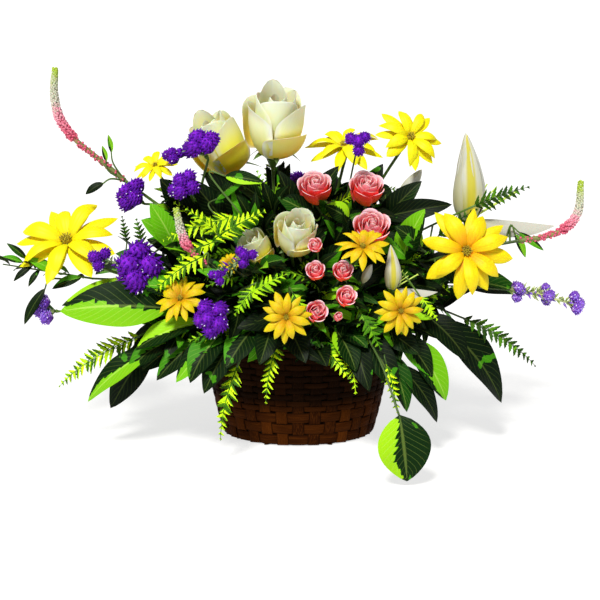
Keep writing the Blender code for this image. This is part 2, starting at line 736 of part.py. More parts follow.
def side_leaf(chance, stem):
    """A leaf that leaves a stem part of the way up, pointing out from the middle and a little down."""
    part = chance.uniform(0.35, 0.92) * (len(stem) - 1)
    first = min(int(part), len(stem) - 2)
    base = stem[first].lerp(stem[first + 1], part - first)
    outward = (base - FILL_CENTRE).normalized()
    turned = Matrix.Rotation(chance.uniform(-1.1, 1.1), 3, "Z") @ outward
    aim = turned + UP * chance.uniform(-0.5, 0.5)
    tip = base + aim.normalized() * (chance.uniform(46, 72) * MM)
    return base, tip, chance.uniform(24, 36) * MM, chance.uniform(-30, 30)


def add_collar_leaves(bunches, blooms):
    """Low leaves that reach from each hole over the rim, where nothing else stands."""
    for bunch in bunches:
        outward = math.atan2(bunch.root.y, bunch.root.x)
        for aside in COLLAR_TURNS:
            aim = Vector((math.cos(outward + aside), math.sin(outward + aside), 0))
            base = bunch.root + UP * (4 * MM)
            tip = base + aim * COLLAR_LENGTH
            room = blade_room(base, tip, COLLAR_WIDTH)
            others = room_of_others(bunches, bunch)
            own = own_room(bunch, base, 2 * OWN_CLEARANCE)
            if clear_of(room, others, CLEAR) and clear_of(room, blooms + own, CLEAR):
                bunch.add_side_leaf(base, tip, COLLAR_WIDTH, 0, 0)


def add_fill_leaves(bunches, blooms):
    """Adds each side leaf that stands clear of every bloom and of every other bunch."""
    chance = random.Random(FILL_SEED)
    added = {bunch.name: 0 for bunch in bunches}
    for turn in range(FILL_TRIES):
        near = bunches[turn % len(bunches)]
        base, tip, width, roll = side_leaf(chance, chance.choice(near.stems))
        room = blade_room(base, tip, width)
        others = room_of_others(bunches, near)
        own = own_room(near, base, OWN_CLEARANCE)
        low = min(place.z - radius for place, radius in room)
        if added[near.name] == FILL_EACH or low < FOAM_TOP or not clear_of(room, own, 0):
            continue
        if clear_of(room, blooms, CLEAR) and clear_of(room, others, CLEAR):
            near.add_side_leaf(base, tip, width, roll)
            added[near.name] += 1


def build_greenery():
    bunches = {name: Bunch(name) for name in ROOTS}
    for home, fork in FORKS.values():
        aim = (mm(fork) - bunches[home].root).normalized()
        bunches[home].add_stem(mm(fork) + aim * MM, aim, STEM_RADIUS)
    for name, kind, centre, facing, width, carrier in BLOOMS:
        shape, _ = BLOOM_SHAPES[kind]
        foot = shape(width * MM)[1]
        cup = CALYX[kind] * width * MM
        home, fork = FORKS.get(carrier, (carrier, None))
        bunches[home].add_bloom_stem(centre, facing, foot, cup, fork and mm(fork))
    for name, facing, heads, carrier in SPRAYS:
        centre, width = heads[0]
        foot = statice(width * MM)[1]
        bunches[carrier].add_bloom_stem(centre, facing, foot, CALYX["statice"] * width * MM)
    for carrier, start, end in TWIGS:
        bunches[carrier].add_twig(mm(start), mm(end))
    for name, points, carrier in SPIKES:
        start, after = mm(points[0]), mm(points[1])
        along = (after - start).normalized()
        bunches[carrier].add_stem(start - along * GAP, along, STEM_RADIUS, SPIKE_CUP)
    for carrier, base, tip, width, roll, arch in LEAVES:
        bunches[carrier].add_leaf(mm(base), mm(tip), width * MM, roll, arch)
    for carrier, base, tip, width, roll, arch in FRONDS:
        bunches[carrier].add_frond(mm(base), mm(tip), width * MM, roll, arch)
    blooms = bloom_room()
    add_collar_leaves(list(bunches.values()), blooms)
    add_fill_leaves(list(bunches.values()), blooms)
    finish = material("leaf_green", 0.5)
    for bunch in bunches.values():
        add_node("greens_" + bunch.name, joined(bunch.pieces), finish)


def build_blooms():
    for index, (name, kind, centre, facing, width, _) in enumerate(BLOOMS):
        shape, color = BLOOM_SHAPES[kind]
        pieces, _ = shape(width * MM)
        mesh = joined(pieces)
        twist = LILY_TURN if kind == "lily" else index * GOLDEN_TURN
        mesh.transform(facing_matrix(mm(centre), facing, twist))
        if name.startswith("lavender"):
            color = "petal_lavender"
        add_node(name, mesh, material(color))
    for name, facing, heads, _ in SPRAYS:
        color = "petal_lavender" if name.startswith("lavender") else "petal_purple"
        add_node(name, joined(statice_spray(facing, heads)), material(color))
    for name, points, _ in SPIKES:
        pieces = flower_spike([mm(point) for point in points])
        add_node(name, joined(pieces), material("petal_spike"))


# ---------------------------------------------------------------- holder

def oval(reach, turn, height):
    return Vector((reach * math.cos(turn), reach * OVAL * math.sin(turn), height))


def basket_profile(row):
    """How far out and how high the basket's skin is: up the outside, then down the inside."""
    if row > WEAVE_ROWS:
        inside = row - WEAVE_ROWS - 1
        return (MOUTH_REACH, BASE_REACH)[inside] - WALL - WEAVE_RELIEF, (WALL_TOP, WALL)[inside]
    level = row / WEAVE_ROWS
    return BASE_REACH + (MOUTH_REACH - BASE_REACH) * level ** 0.8, WALL_TOP * level


def build_basket():
    """An oval cup whose outside goes over and under its stakes by a formula."""
    bm = bmesh.new()
    rows = WEAVE_ROWS + 2
    bmesh.ops.create_grid(bm, x_segments=STAKES, y_segments=rows, size=1)
    for vert in bm.verts:
        stake = round((vert.co.x + 1) / 2 * STAKES)
        row = round((vert.co.y + 1) / 2 * rows)
        reach, height = basket_profile(row)
        if 0 < row < WEAVE_ROWS:
            reach += WEAVE_RELIEF * (-1) ** (stake + row)
        vert.co = oval(reach, stake / STAKES * math.tau, height)
    bmesh.ops.remove_doubles(bm, verts=bm.verts[:], dist=0.05 * MM)
    for end in (0, WALL):
        ring = [edge for edge in bm.edges if edge.is_boundary and abs(edge.verts[0].co.z - end) < GAP]
        bmesh.ops.contextual_create(bm, geom=ring)
    bmesh.ops.triangulate(bm, faces=bm.faces[:])
    bmesh.ops.recalc_face_normals(bm, faces=bm.faces[:])
    add_node("basket", mesh_from(bm), material("basket_brown", 0.4))


def add_wall(obj, thickness):
    shell = obj.modifiers.new("wall", "SOLIDIFY")
    shell.thickness = thickness
    shell.offset = -1
    shell.use_even_offset = True


def build_rim():
    """The rolled border that stands on the wall."""
    bpy.ops.mesh.primitive_torus_add(
        major_segments=STAKES, minor_segments=5, major_radius=MOUTH_REACH, minor_radius=RIM_RADIUS)
    ring = bpy.context.object
    mesh = ring.data.copy()
    bpy.data.objects.remove(ring)
    for vert in mesh.vertices:
        turn = math.atan2(vert.co.y, vert.co.x)
        out = math.hypot(vert.co.x, vert.co.y) - MOUTH_REACH
        height = WALL_TOP + GAP + RIM_RADIUS + vert.co.z
        outward = Vector((math.cos(turn), math.sin(turn), 0))
        vert.co = oval(MOUTH_REACH, turn, height) + outward * out
    add_node("basket_rim", mesh, material("basket_brown", 0.4))


def taper(foot, head, height, base, sides=24):
    """An oval frustum."""
    mesh = cone(foot, head, height, sides, base)
    mesh.transform(Matrix.Diagonal((1, OVAL, 1, 1)))
    return mesh


def build_liner():
    inset = WALL + WEAVE_RELIEF + 2 * MM
    base = WALL + GAP
    mesh = taper(BASE_REACH - inset, MOUTH_REACH - inset - 1 * MM, LINER_TOP - base, base)
    bm = bmesh.new()
    bm.from_mesh(mesh)
    lid = max(bm.faces, key=lambda face: face.calc_center_median().z)
    bmesh.ops.delete(bm, geom=[lid], context="FACES_ONLY")
    obj = add_node("liner", mesh_from(bm), material("liner_green", 0.4))
    add_wall(obj, LINER_WALL)


def build_foam():
    base = WALL + GAP + LINER_WALL + GAP
    block = taper(FOAM_BASE_REACH, FOAM_TOP_REACH, FOAM_TOP - base, base)
    foam = add_node("foam", block, material("foam_green", 0.9))
    cutters = bpy.data.collections.new("hole_cutters")
    bpy.context.scene.collection.children.link(cutters)
    for name, (x, y) in ROOTS.items():
        hole = cone(HOLE_RADIUS, HOLE_RADIUS, 2 * HOLE_DEPTH, 6, -HOLE_DEPTH)
        drill = bpy.data.objects.new("hole_" + name, hole)
        drill.location = (x * MM, y * MM, FOAM_TOP)
        drill.hide_render = True
        drill.display_type = "WIRE"
        cutters.objects.link(drill)
    cut = foam.modifiers.new("holes", "BOOLEAN")
    cut.operation = "DIFFERENCE"
    cut.operand_type = "COLLECTION"
    cut.collection = cutters


def main():
    clear_scene()
    bpy.context.scene.collection.children.link(bpy.data.collections.new(PARTS))
    build_basket()
    build_rim()
    build_liner()
    build_foam()
    build_blooms()
    build_greenery()


main()
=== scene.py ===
"""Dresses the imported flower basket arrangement: each CAD node of blooms, greenery and basket is replaced by a
finer piece of the same form, in the same place, with materials made from nodes.

Metres, +Z up, front towards -Y. The tables and the rules that place leaves are those of the part's source.
"""
import math
import random
from collections import namedtuple
from functools import lru_cache, partial

import bmesh
import bpy
import numpy as np
from mathutils import Matrix, Vector


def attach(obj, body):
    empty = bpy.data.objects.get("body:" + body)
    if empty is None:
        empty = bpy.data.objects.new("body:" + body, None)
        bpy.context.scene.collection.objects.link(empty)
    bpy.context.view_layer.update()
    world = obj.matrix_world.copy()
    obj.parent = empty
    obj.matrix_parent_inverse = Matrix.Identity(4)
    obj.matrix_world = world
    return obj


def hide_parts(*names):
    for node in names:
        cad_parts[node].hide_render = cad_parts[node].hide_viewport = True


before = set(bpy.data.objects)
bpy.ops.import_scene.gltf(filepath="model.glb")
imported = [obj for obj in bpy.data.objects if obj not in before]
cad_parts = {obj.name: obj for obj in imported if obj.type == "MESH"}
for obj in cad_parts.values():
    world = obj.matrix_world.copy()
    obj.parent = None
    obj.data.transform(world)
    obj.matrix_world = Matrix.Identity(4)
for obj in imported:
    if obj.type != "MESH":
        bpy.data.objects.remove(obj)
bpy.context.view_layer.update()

MM = 0.001
GAP = 0.3 * MM
UP = Vector((0, 0, 1))
GOLDEN_TURN = math.radians(137.508)
TINY = 1e-12
SHARP = math.radians(75)

# Basket: an oval, so one ratio gives each depth from its width.
OVAL = 0.74
BASE_REACH = 84 * MM
MOUTH_REACH = 108 * MM
WALL_TOP = 112 * MM
RIM_RADIUS = 5 * MM

# Its splints: stakes that stand, weavers that run round, the lowest of them broader, the lanes of the base
# along X and along Y, and the rim's lashing.
STAKES = 32
STAKE_WIDTH = 13 * MM
WEAVERS = 13
BROAD_WEAVERS = 3
BROAD_SHARE = 1.9
WEAVE_THICK = 1.1 * MM
WEAVE_SWING = 0.7 * MM
WEAVE_FLATNESS = 1.6
WEAVE_FOOT = 1.2 * MM
WEAVER_SPAN = WALL_TOP - 1.5 * MM
WEAVER_WANDER = 0.4 * MM
SPLINT_FILL = 0.94
BASE_LANES = (9, 13)
BASE_SWING = 0.8 * MM
BASE_HEIGHT = 2.2 * MM
LASHINGS = 84
BASKET_SEED = 3

# Foam, and the plugs that stand in its holes.
FOAM_TOP = 142 * MM
HOLE_DEPTH = 40 * MM
PLUG_RADIUS = 5.3 * MM
PLUG_ABOVE = 6 * MM

# Leaves that fill the bunches, by rule: how far up a stem each stands, its length and width in mm, its roll
# and its arch.
FILL_CENTRE = Vector((0, 0, 100 * MM))
FILL_TRIES = 1400
FILL_EACH = 4
FILL_PART = (0.35, 0.92)
FILL_LENGTH = (46, 72)
FILL_WIDTH = (24, 36)
FILL_ROLL = (-30, 30)
FILL_ARCH = 0.12
FILL_SEED = 5
OWN_CLEARANCE = 15 * MM
COLLAR_TURNS = (-0.5, 0.5)
COLLAR_LENGTH = 92 * MM
COLLAR_WIDTH = 36 * MM
TWIG_LEAVES = 6
TWIG_LEAF = 26 * MM
CLEAR = 2 * MM

# Stems and stalks.
STEM_RADIUS = 1.9 * MM
LEAST_RISE = 42 * MM
PETIOLE_RADIUS = 1.3 * MM
STALK_OVERLAP = 0.06
STALK_RADIUS = 1.4 * MM
SPIKE_CUP = 2.2 * MM

# A lily: the turn that brings its open tepal to the right, the line of its style as parts of its length, and
# the turns of its stamens.
LILY_TURN = math.radians(-45)
LILY_STYLE = [(0, 0.02), (0.46, 0.36), (0.52, 0.40)]
STAMEN_TURNS = (-0.5, 0.45, 0.9)

# The camera, what it looks at, the floor and the light.
AIM = Vector((0.002, 0, 0.151))
CAMERA_RISE = math.radians(13)
CAMERA_AWAY = 1.5
VIEW_WIDTH = 672 * MM
SENSOR = 36
LENS = SENSOR * CAMERA_AWAY / VIEW_WIDTH
FLOOR_REACH = 200
FLOOR_GLOW = 0.7
AMBIENT = 0.32
KEY_POWER = 4.2
KEY_ANGLE = math.radians(12)
KEY_COLOR = (1.0, 0.98, 0.93)
KEY_FROM = Vector((-0.25, -0.80, 1.0))
WHITE = (1, 1, 1, 1)

# Finer greenery between the larger leaves: how much each bunch gets, how far up a stem it stands, its length
# in mm, its width as a part of that, its roll, and the oval body that it fills.
DENSE_LEAVES = 110
DENSE_TRIES = 2000
DENSE_FROND_STEP = 9
DENSE_PART = (0.1, 0.97)
DENSE_LENGTH = (30, 64)
DENSE_WIDTH = (0.26, 0.48)
DENSE_ROLL = (-45, 45)
MORE_ARCH = 0.10
BODY_CENTRE = (-0.012, -0.002, 0.170)
BODY_REACH = (0.185, 0.125, 0.138)
BODY_FOOT = 108 * MM
# Tones of the leaves and of the fronds below, from dark to lime: partly each one's own colour and partly
# painted shade, darker where it lies in shade.
LEAF_TONES = (0.95, 0.8, 0.1, 0.7, 0.1, 0.5, 0.5, 0.04, 0.75, 0.1, 1.0, 0.75, 0.15, 0.1, 0.3, 0.3)
FROND_TONES = (0.9, 0.95, 0.9, 0.95, 0.85, 0.15, 0.15, 0.7, 0.8, 0.8)

# Blooms that differ from their kind: yellower roses, larger daisies in a lighter, flatter yellow that is partly
# their own colour and partly painted sunlight, larger lavender heads.
BUTTER_ROSES = ("cream_rose_behind", "cream_rose_side")
SUNLIT_DAISIES = ("daisy_left", "daisy_top", "daisy_top_right", "daisy_behind_left")
DAISY_GROWN = 1.14
LAVENDER_GROWN = 1.12
# A smaller head that shares the stem of a larger one: its centre and width in mm.
SIDE_HEADS = {"statice_top_left": ((-135, -14, 314), 28)}
SPRAY_SEED = 50
SPIKE_SEED = 80

# More leaves: bunch, base and tip in mm, width in mm, roll in degrees, and tone from dark to lime, partly the
# leaf's own colour and partly painted shade.
MORE_LEAVES = [
    ("left_low", (-96, -78, 132), (-150, -98, 86), 30, 10, 0.5),
    ("left_low", (-112, -66, 132), (-168, -84, 92), 26, -10, 0.2),
    ("left_low", (-104, -84, 146), (-172, -94, 118), 30, 20, 0.95),
    ("left_low", (-84, -86, 134), (-128, -112, 88), 26, 0, 0.75),
    ("front_left", (-64, -98, 134), (-98, -126, 80), 30, 10, 0.45),
    ("front_left", (-46, -94, 142), (-74, -130, 108), 32, 10, 0.55),
    ("front_left", (-28, -92, 144), (-40, -130, 112), 26, -10, 0.08),
    ("front", (-10, -90, 142), (8, -130, 114), 28, 0, 0.1),
    ("front", (40, -94, 140), (60, -128, 104), 28, -15, 0.9),
    ("front", (58, -94, 134), (74, -132, 84), 26, 10, 0.1),
    ("front_right", (70, -94, 134), (104, -124, 82), 30, 0, 0.15),
    ("front_right", (92, -92, 118), (114, -120, 58), 28, -20, 0.3),
    ("front_right", (106, -80, 134), (142, -100, 90), 28, -10, 0.55),
    ("front_right", (88, -86, 142), (128, -112, 118), 26, 10, 0.2),
    ("left_top", (-78, -42, 296), (-36, -48, 290), 15, 10, 1.0),
    ("left_top", (-88, -36, 270), (-50, -44, 300), 14, 10, 0.5),
    ("right_top", (132, -58, 220), (102, -66, 246), 24, 0, 0.9),
    ("right_top", (92, -22, 248), (166, -32, 264), 24, 15, 0.05),
    ("left_top", (-132, -42, 216), (-158, -48, 268), 30, 10, 0.7),
    ("centre", (54, -46, 250), (28, -52, 266), 24, 0, 1.0),
    ("centre", (16, -36, 250), (-22, -46, 274), 26, 0, 0.3),
    ("centre", (84, -44, 232), (118, -52, 208), 26, 0, 0.6),
    ("right", (150, -30, 200), (196, -34, 172), 30, 0, 0.15),
    ("right_low", (136, -66, 150), (180, -84, 104), 34, -15, 0.05),
    ("left", (-140, -40, 190), (-196, -52, 214), 28, 20, 0.4),
    ("left", (-120, -74, 176), (-168, -84, 186), 26, 10, 0.6),
    ("top", (-60, 0, 240), (-104, -4, 296), 30, 10, 0.05),
    ("top", (-40, -6, 236), (-66, -14, 298), 28, 0, 0.1),
    ("top", (0, -10, 240), (-22, -20, 300), 28, 0, 0.05),
    ("top", (10, -6, 246), (44, -18, 304), 28, 0, 0.15),
    ("right_top", (64, -6, 246), (92, -14, 306), 28, 0, 0.05),
    ("right_top", (90, -10, 236), (134, -20, 288), 28, 0, 0.2),
    ("left_top", (-96, -10, 224), (-138, -16, 272), 30, 0, 0.1),
    ("left_top", (-80, -20, 240), (-118, -30, 292), 26, 0, 0.05),
    ("right", (240, 0, 226), (252, -4, 200), 9, 0, 0.75),
    ("right", (244, 0, 228), (272, -4, 208), 8, 20, 0.6),
    ("left", (-138, -80, 160), (-252, -84, 158), 52, 0, 0.80),
    ("left", (-296, -30, 204), (-316, -34, 222), 8, 0, 0.3),
    ("left", (-300, -30, 200), (-322, -34, 207), 8, 0, 0.6),
    ("left", (-290, -30, 196), (-310, -36, 180), 8, 0, 0.1),
    ("left", (-282, -30, 192), (-294, -36, 174), 7, 0, 0.15),
    ("left", (-276, -34, 172), (-300, -38, 132), 12, 0, 0.08),
    ("left_top", (-204, 0, 316), (-207, 0, 336), 6, 0, 0.8),
    ("left_top", (-210, 0, 306), (-214, 0, 324), 6, 0, 0.8),
    ("left_top", (-212, -10, 284), (-232, -12, 272), 10, 0, 0.05),
    ("left", (-262, -30, 188), (-296, -36, 206), 12, 0, 0.7),
    ("left", (-236, -32, 184), (-268, -38, 172), 12, 0, 0.5),
]
# More fronds: bunch, base and tip in mm, width in mm, roll in degrees, and tone, partly the frond's own colour
# and partly painted shade.
MORE_FRONDS = [
    ("left_top", (-92, -64, 230), (-34, -62, 262), 34, 10, 1.0),
    ("left_top", (-86, -66, 238), (-118, -72, 266), 24, 0, 0.95),
    ("left_top", (-86, -66, 230), (-128, -76, 212), 26, 0, 0.9),
    ("front_left", (-98, -84, 218), (-150, -92, 182), 30, 10, 0.9),
    ("front_left", (-58, -106, 176), (-10, -108, 204), 28, 0, 0.7),
    ("front_left", (-44, -106, 190), (-66, -112, 160), 22, 0, 0.6),
    ("front", (-6, -100, 182), (14, -112, 150), 20, 0, 0.55),
    ("front", (62, -110, 168), (86, -124, 126), 24, 0, 0.35),
    ("front_right", (92, -116, 110), (104, -132, 60), 20, 0, 0.95),
    ("front", (26, -100, 124), (54, -128, 96), 24, 0, 0.9),
    ("left", (-186, -30, 222), (-190, -34, 252), 14, 0, 0.1),
    ("left", (-168, -34, 216), (-174, -38, 250), 18, 0, 0.15),
    ("right_top", (150, -40, 230), (192, -48, 262), 20, 0, 0.05),
    ("right", (128, -92, 176), (146, -100, 152), 16, 0, 0.8),
]

# Blooms: name, kind, centre in mm, the way it faces, width in mm, and the bunch that carries it.
BLOOMS = [
    ("cream_rose_top", "cream_rose", (-26, 5, 342), (0.05, -0.35, 0.93), 82, "top"),
    ("cream_rose_behind", "cream_rose", (-88, 56, 314), (-0.45, -0.25, 0.85), 76, "top"),
    ("cream_rose_front", "small_cream_rose", (-3, -72, 236), (0.1, -0.6, 0.78), 54, "centre"),
    ("cream_rose_side", "small_cream_rose", (-44, -48, 217), (-0.4, -0.5, 0.75), 42, "centre"),
    ("pink_rose_left", "pink_rose", (18, -35, 282), (-0.05, -0.6, 0.8), 42, "pink_spray"),
    ("pink_rose_right", "pink_rose", (73, -35, 281), (0.1, -0.6, 0.8), 43, "pink_spray"),
    ("pink_rose_low", "pink_rose", (77, -75, 245), (0.05, -0.7, 0.7), 44, "pink_spray"),
    ("spray_rose_1", "spray_rose", (18, -110, 207), (-0.1, -0.75, 0.65), 24, "rose_spray"),
    ("spray_rose_2", "spray_rose", (46, -112, 207), (0.1, -0.75, 0.65), 25, "rose_spray"),
    ("spray_rose_3", "spray_rose", (49, -128, 184), (0.2, -0.8, 0.55), 25, "rose_spray"),
    ("spray_rose_4", "spray_rose", (19, -116, 165), (0.2, -0.85, 0.45), 27, "rose_spray"),
    ("spray_rose_5", "spray_rose", (18, -100, 232), (-0.2, -0.8, 0.5), 18, "rose_spray"),
    ("spray_rose_bud", "rose_bud", (41, -128, 163), (0.2, -0.8, 0.5), 16, "rose_spray"),
    ("daisy_right", "daisy", (177, -78, 222), (0.1, -0.95, 0.3), 100, "right"),
    ("daisy_top_right", "daisy", (123, 12, 332), (0.3, -0.75, 0.6), 70, "right_top"),
    ("daisy_top", "daisy", (52, 30, 320), (-0.05, -0.35, 0.95), 80, "top"),
    ("daisy_left", "daisy", (-253, -20, 222), (-0.15, -0.6, 0.8), 106, "left"),
    ("daisy_behind_left", "small_daisy", (-158, 14, 300), (-0.2, -0.5, 0.85), 46, "left_top"),
    ("daisy_front", "small_daisy", (-12, -142, 166), (0.0, -0.95, 0.25), 54, "front"),
    ("daisy_front_left", "small_daisy", (-123, -97, 175), (-0.2, -0.7, 0.65), 58, "front_left"),
    ("daisy_front_right", "small_daisy", (105, -127, 169), (0.15, -0.95, 0.2), 54, "front_right"),
    ("daisy_centre", "small_daisy", (66, -118, 234), (0.05, -0.6, 0.75), 56, "centre"),
    ("daisy_small", "small_daisy", (-72, -82, 210), (-0.2, -0.7, 0.6), 26, "front_left"),
    ("daisy_back_left", "small_daisy", (-92, 118, 232), (-0.4, 0.8, 0.45), 58, "back_left"),
    ("daisy_back_right", "small_daisy", (86, 124, 222), (0.3, 0.85, 0.4), 58, "back_right"),
    ("statice_top_left", "statice", (-106, -12, 326), (-0.4, -0.3, 0.85), 46, "statice_spray"),
    ("statice_mid_left", "statice", (-122, -42, 286), (-0.4, -0.6, 0.7), 38, "statice_spray"),
    ("statice_far_left", "statice", (-181, -14, 272), (-0.7, -0.3, 0.6), 42, "statice_spray"),
    ("statice_top", "statice", (63, -50, 333), (0.0, -0.9, 0.4), 30, "right_top"),
    ("statice_front_low", "statice", (-89, -118, 159), (-0.4, -0.85, 0.2), 42, "front_left"),
    ("statice_back", "statice", (-6, 112, 262), (0.0, 0.6, 0.8), 48, "back"),
    ("lavender_left", "statice", (-278, -30, 146), (-0.9, -0.2, 0.1), 36, "left"),
    ("white_lily", "lily", (188, 8, 238), (0.08, -0.08, 0.99), 98, "right"),
    ("white_lily_small", "lily", (99, -88, 182), (0.08, -0.08, 0.99), 48, "front_right"),
    ("lily_bud_high", "lily_bud", (124, 18, 277), (0.55, -0.1, 0.8), 46, "right_top"),
    ("lily_bud_low", "lily_bud", (72, -92, 200), (0.35, -0.3, 0.85), 26, "front_right"),
]
# Sprays of several statice heads on one branched stalk: name, facing, heads (centre and width), and bunch.
SPRAYS = [
    ("statice_left", (-0.6, -0.6, 0.5), [((-171, -66, 200), 62), ((-212, -60, 210), 30)], "left"),
    ("statice_front_high", (-0.3, -0.8, 0.5),
     [((-54, -108, 222), 26), ((-82, -110, 202), 22)], "front_left"),
    ("lavender_right", (0.9, -0.2, 0.0),
     [((238, -40, 171), 24), ((270, -40, 166), 24), ((302, -40, 156), 26)], "right_low"),
]
# Spikes: name, the points that the flowering end runs through in mm, and its bunch.
SPIKES = [
    ("veronica_left", [(-191, 5, 285), (-217, 2, 308), (-242, -5, 331), (-258, -5, 354),
                       (-263, -5, 380), (-261, -5, 406)], "left_top"),
    ("veronica_front", [(-96, -80, 206), (-111, -80, 221), (-121, -80, 238), (-127, -80, 266)],
     "front_left"),
    ("veronica_right", [(240, -30, 224), (268, -36, 230), (290, -34, 240), (303, -28, 256),
                        (306, -20, 286)], "right"),
]
# Bunches: where each stands in the foam in mm.
ROOTS = {
    "top": (-10, 16), "centre": (6, -14), "front": (4, -46), "front_left": (-30, -40),
    "front_right": (38, -34), "left_top": (-38, 8), "left": (-64, -4), "left_low": (-57, -28),
    "right_low": (62, -22), "right": (68, 6), "right_top": (36, 14), "back_left": (-38, 38),
    "back": (-2, 46), "back_right": (36, 40),
}
# Sprays whose blooms branch from one fork: the bunch, and the fork in mm.
FORKS = {
    "rose_spray": ("front", (24, -82, 168)),
    "pink_spray": ("centre", (48, -32, 226)),
    "statice_spray": ("left_top", (-112, -6, 258)),
}
# Twigs with small leaves: bunch, start and end of the leafy stretch in mm.
TWIGS = [("left", (-225, -30, 182), (-322, -30, 198))]
# Leaves: bunch, base and tip in mm, width in mm, roll in degrees, arch as a part of the length.
LEAVES = [
    ("left", (-140, -52, 167), (-254, -62, 159), 44, 25, 0.09),
    ("left_low", (-150, -84, 118), (-226, -84, 58), 30, 20, 0.10),
    ("left_low", (-158, -48, 120), (-206, -56, 42), 34, -10, 0.10),
    ("left", (-128, -34, 214), (-168, -48, 250), 34, 20, 0.08),
    ("left_top", (-120, -6, 250), (-150, -20, 290), 30, 0, 0.08),
    ("left_low", (-128, -72, 126), (-182, -96, 92), 30, 25, 0.12),
    ("front_left", (-78, -92, 138), (-112, -128, 92), 34, 15, 0.14),
    ("right_low", (150, -58, 142), (222, -62, 50), 48, -25, 0.10),
    ("front_right", (118, -84, 128), (158, -92, 62), 34, -15, 0.10),
    ("front_right", (104, -98, 104), (148, -100, 40), 26, -20, 0.12),
    ("front_right", (102, -178, 74), (110, -186, 6), 54, 0, 0.08),
    ("right_top", (112, -48, 206), (134, -62, 264), 32, -20, 0.08),
    ("centre", (-34, -24, 262), (-78, -40, 294), 28, 20, 0.08),
    ("front", (20, -88, 118), (30, -128, 110), 28, 10, 0.12),
    ("front", (46, -80, 134), (72, -122, 128), 26, -10, 0.12),
    ("right", (176, 0, 170), (250, -2, 158), 36, -20, 0.10),
]
# Fronds: bunch, base and tip in mm, width in mm, roll in degrees, arch.
FRONDS = [
    ("left_low", (-170, -56, 124), (-262, -56, 66), 34, 0, 0.16),
    ("left_top", (-52, -50, 252), (-144, -64, 230), 34, 20, 0.10),
    ("front_left", (-62, -106, 108), (-82, -118, 26), 26, 15, 0.12),
    ("front", (-20, -96, 132), (-34, -118, 66), 24, 15, 0.12),
    ("front", (52, -96, 122), (60, -122, 78), 22, -10, 0.12),
    ("right_low", (178, -46, 142), (260, -52, 88), 28, 0, 0.16),
    ("right_top", (188, -34, 262), (246, -50, 286), 26, 10, 0.10),
    ("back", (-30, 92, 200), (-62, 160, 150), 40, 0, 0.16),
    ("back_right", (62, 86, 168), (116, 158, 112), 40, 0, 0.16),
    ("back_left", (-90, 74, 160), (-168, 124, 120), 40, 0, 0.16),
]


def mm(values):
    """A point or length given in mm, in metres."""
    return Vector(values) * MM


Blade = namedtuple("Blade", "base tip width roll arch lean", defaults=(0, FILL_ARCH, 1.0))


def blade_mm(base, tip, width, roll, arch=MORE_ARCH):
    """A leaf or frond from a row of its table."""
    return Blade(mm(base), mm(tip), width * MM, roll, arch)


def ring(turn):
    """The level way out at a turn about Z."""
    return Vector((math.cos(turn), math.sin(turn), 0))


def unit(vectors):
    """The vectors of an array, each made one long."""
    return vectors / np.maximum(np.linalg.norm(vectors, axis=-1, keepdims=True), TINY)


def facing_matrix(centre, facing, twist=0.0):
    """Stands a bloom that is made looking up +Z at its place, looking along facing."""
    turn = Vector(facing).normalized().to_track_quat("Z", "Y").to_matrix().to_4x4()
    return Matrix.Translation(centre) @ turn @ Matrix.Rotation(twist, 4, "Z")


def level_matrix(centre, facing):
    """Stands a bloom looking along facing, with its own -Y turned towards the front."""
    up = Vector(facing).normalized()
    right = Vector((1, 0, 0)) - up * up.x
    right.normalize()
    return Matrix.Translation(centre) @ Matrix((right, up.cross(right), up)).transposed().to_4x4()


def bezier(points, t):
    """The place at t on the cubic curve with these four handles."""
    a, b, c, d = points
    s = 1 - t
    return a * s ** 3 + b * 3 * s * s * t + c * 3 * s * t * t + d * t ** 3


def smooth_path(points, steps):
    """Points along the smooth curve that runs through the given ones."""
    if len(points) < 3:
        return [points[0].lerp(points[-1], step / steps) for step in range(steps + 1)]
    padded = [points[0] * 2 - points[1], *points, points[-1] * 2 - points[-2]]
    path = []
    for a, b, c, d in zip(padded, padded[1:], padded[2:], padded[3:]):
        for step in range(steps):
            t = step / steps
            path.append(0.5 * (2 * b + (c - a) * t + (2 * a - 5 * b + 4 * c - d) * t * t
                               + (3 * b - a - 3 * c + d) * t ** 3))
    return path + [points[-1]]


def stem_points(root, end, arrive, steps=3):
    """A stem that leaves its hole upwards and arrives at its end along arrive."""
    away = (end - root).to_2d()
    reach = (end - root).length
    start = root + (away.normalized() * min(2.6 * MM, away.length)).to_3d() + UP * (3 * MM)
    rise = max(LEAST_RISE, 0.3 * (end.z - root.z))
    handles = (start, start + UP * rise, end - arrive * (0.3 * reach), end)
    return [bezier(handles, step / steps) for step in range(steps + 1)]


def point_on(path, part):
    """The place at part of the way along a path, and the way that the path runs there."""
    along = part * (len(path) - 1)
    first = min(int(along), len(path) - 2)
    return path[first].lerp(path[first + 1], along - first), (path[first + 1] - path[first]).normalized()


def blade_ways(blade):
    """Along, across and up directions of a blade that faces up and leans out, rolled about its length."""
    along = (blade.tip - blade.base).normalized()
    face = UP * 0.7 + Vector((0, -blade.lean if blade.tip.y < 0 else blade.lean, 0))
    across = along.cross(face).normalized()
    across.rotate(Matrix.Rotation(math.radians(blade.roll), 3, along))
    return along, across, across.cross(along)


def add_object(name, data):
    obj = bpy.data.objects.new(name, data)
    bpy.context.scene.collection.objects.link(obj)
    return obj


# ---------------------------------------------------------------- meshes

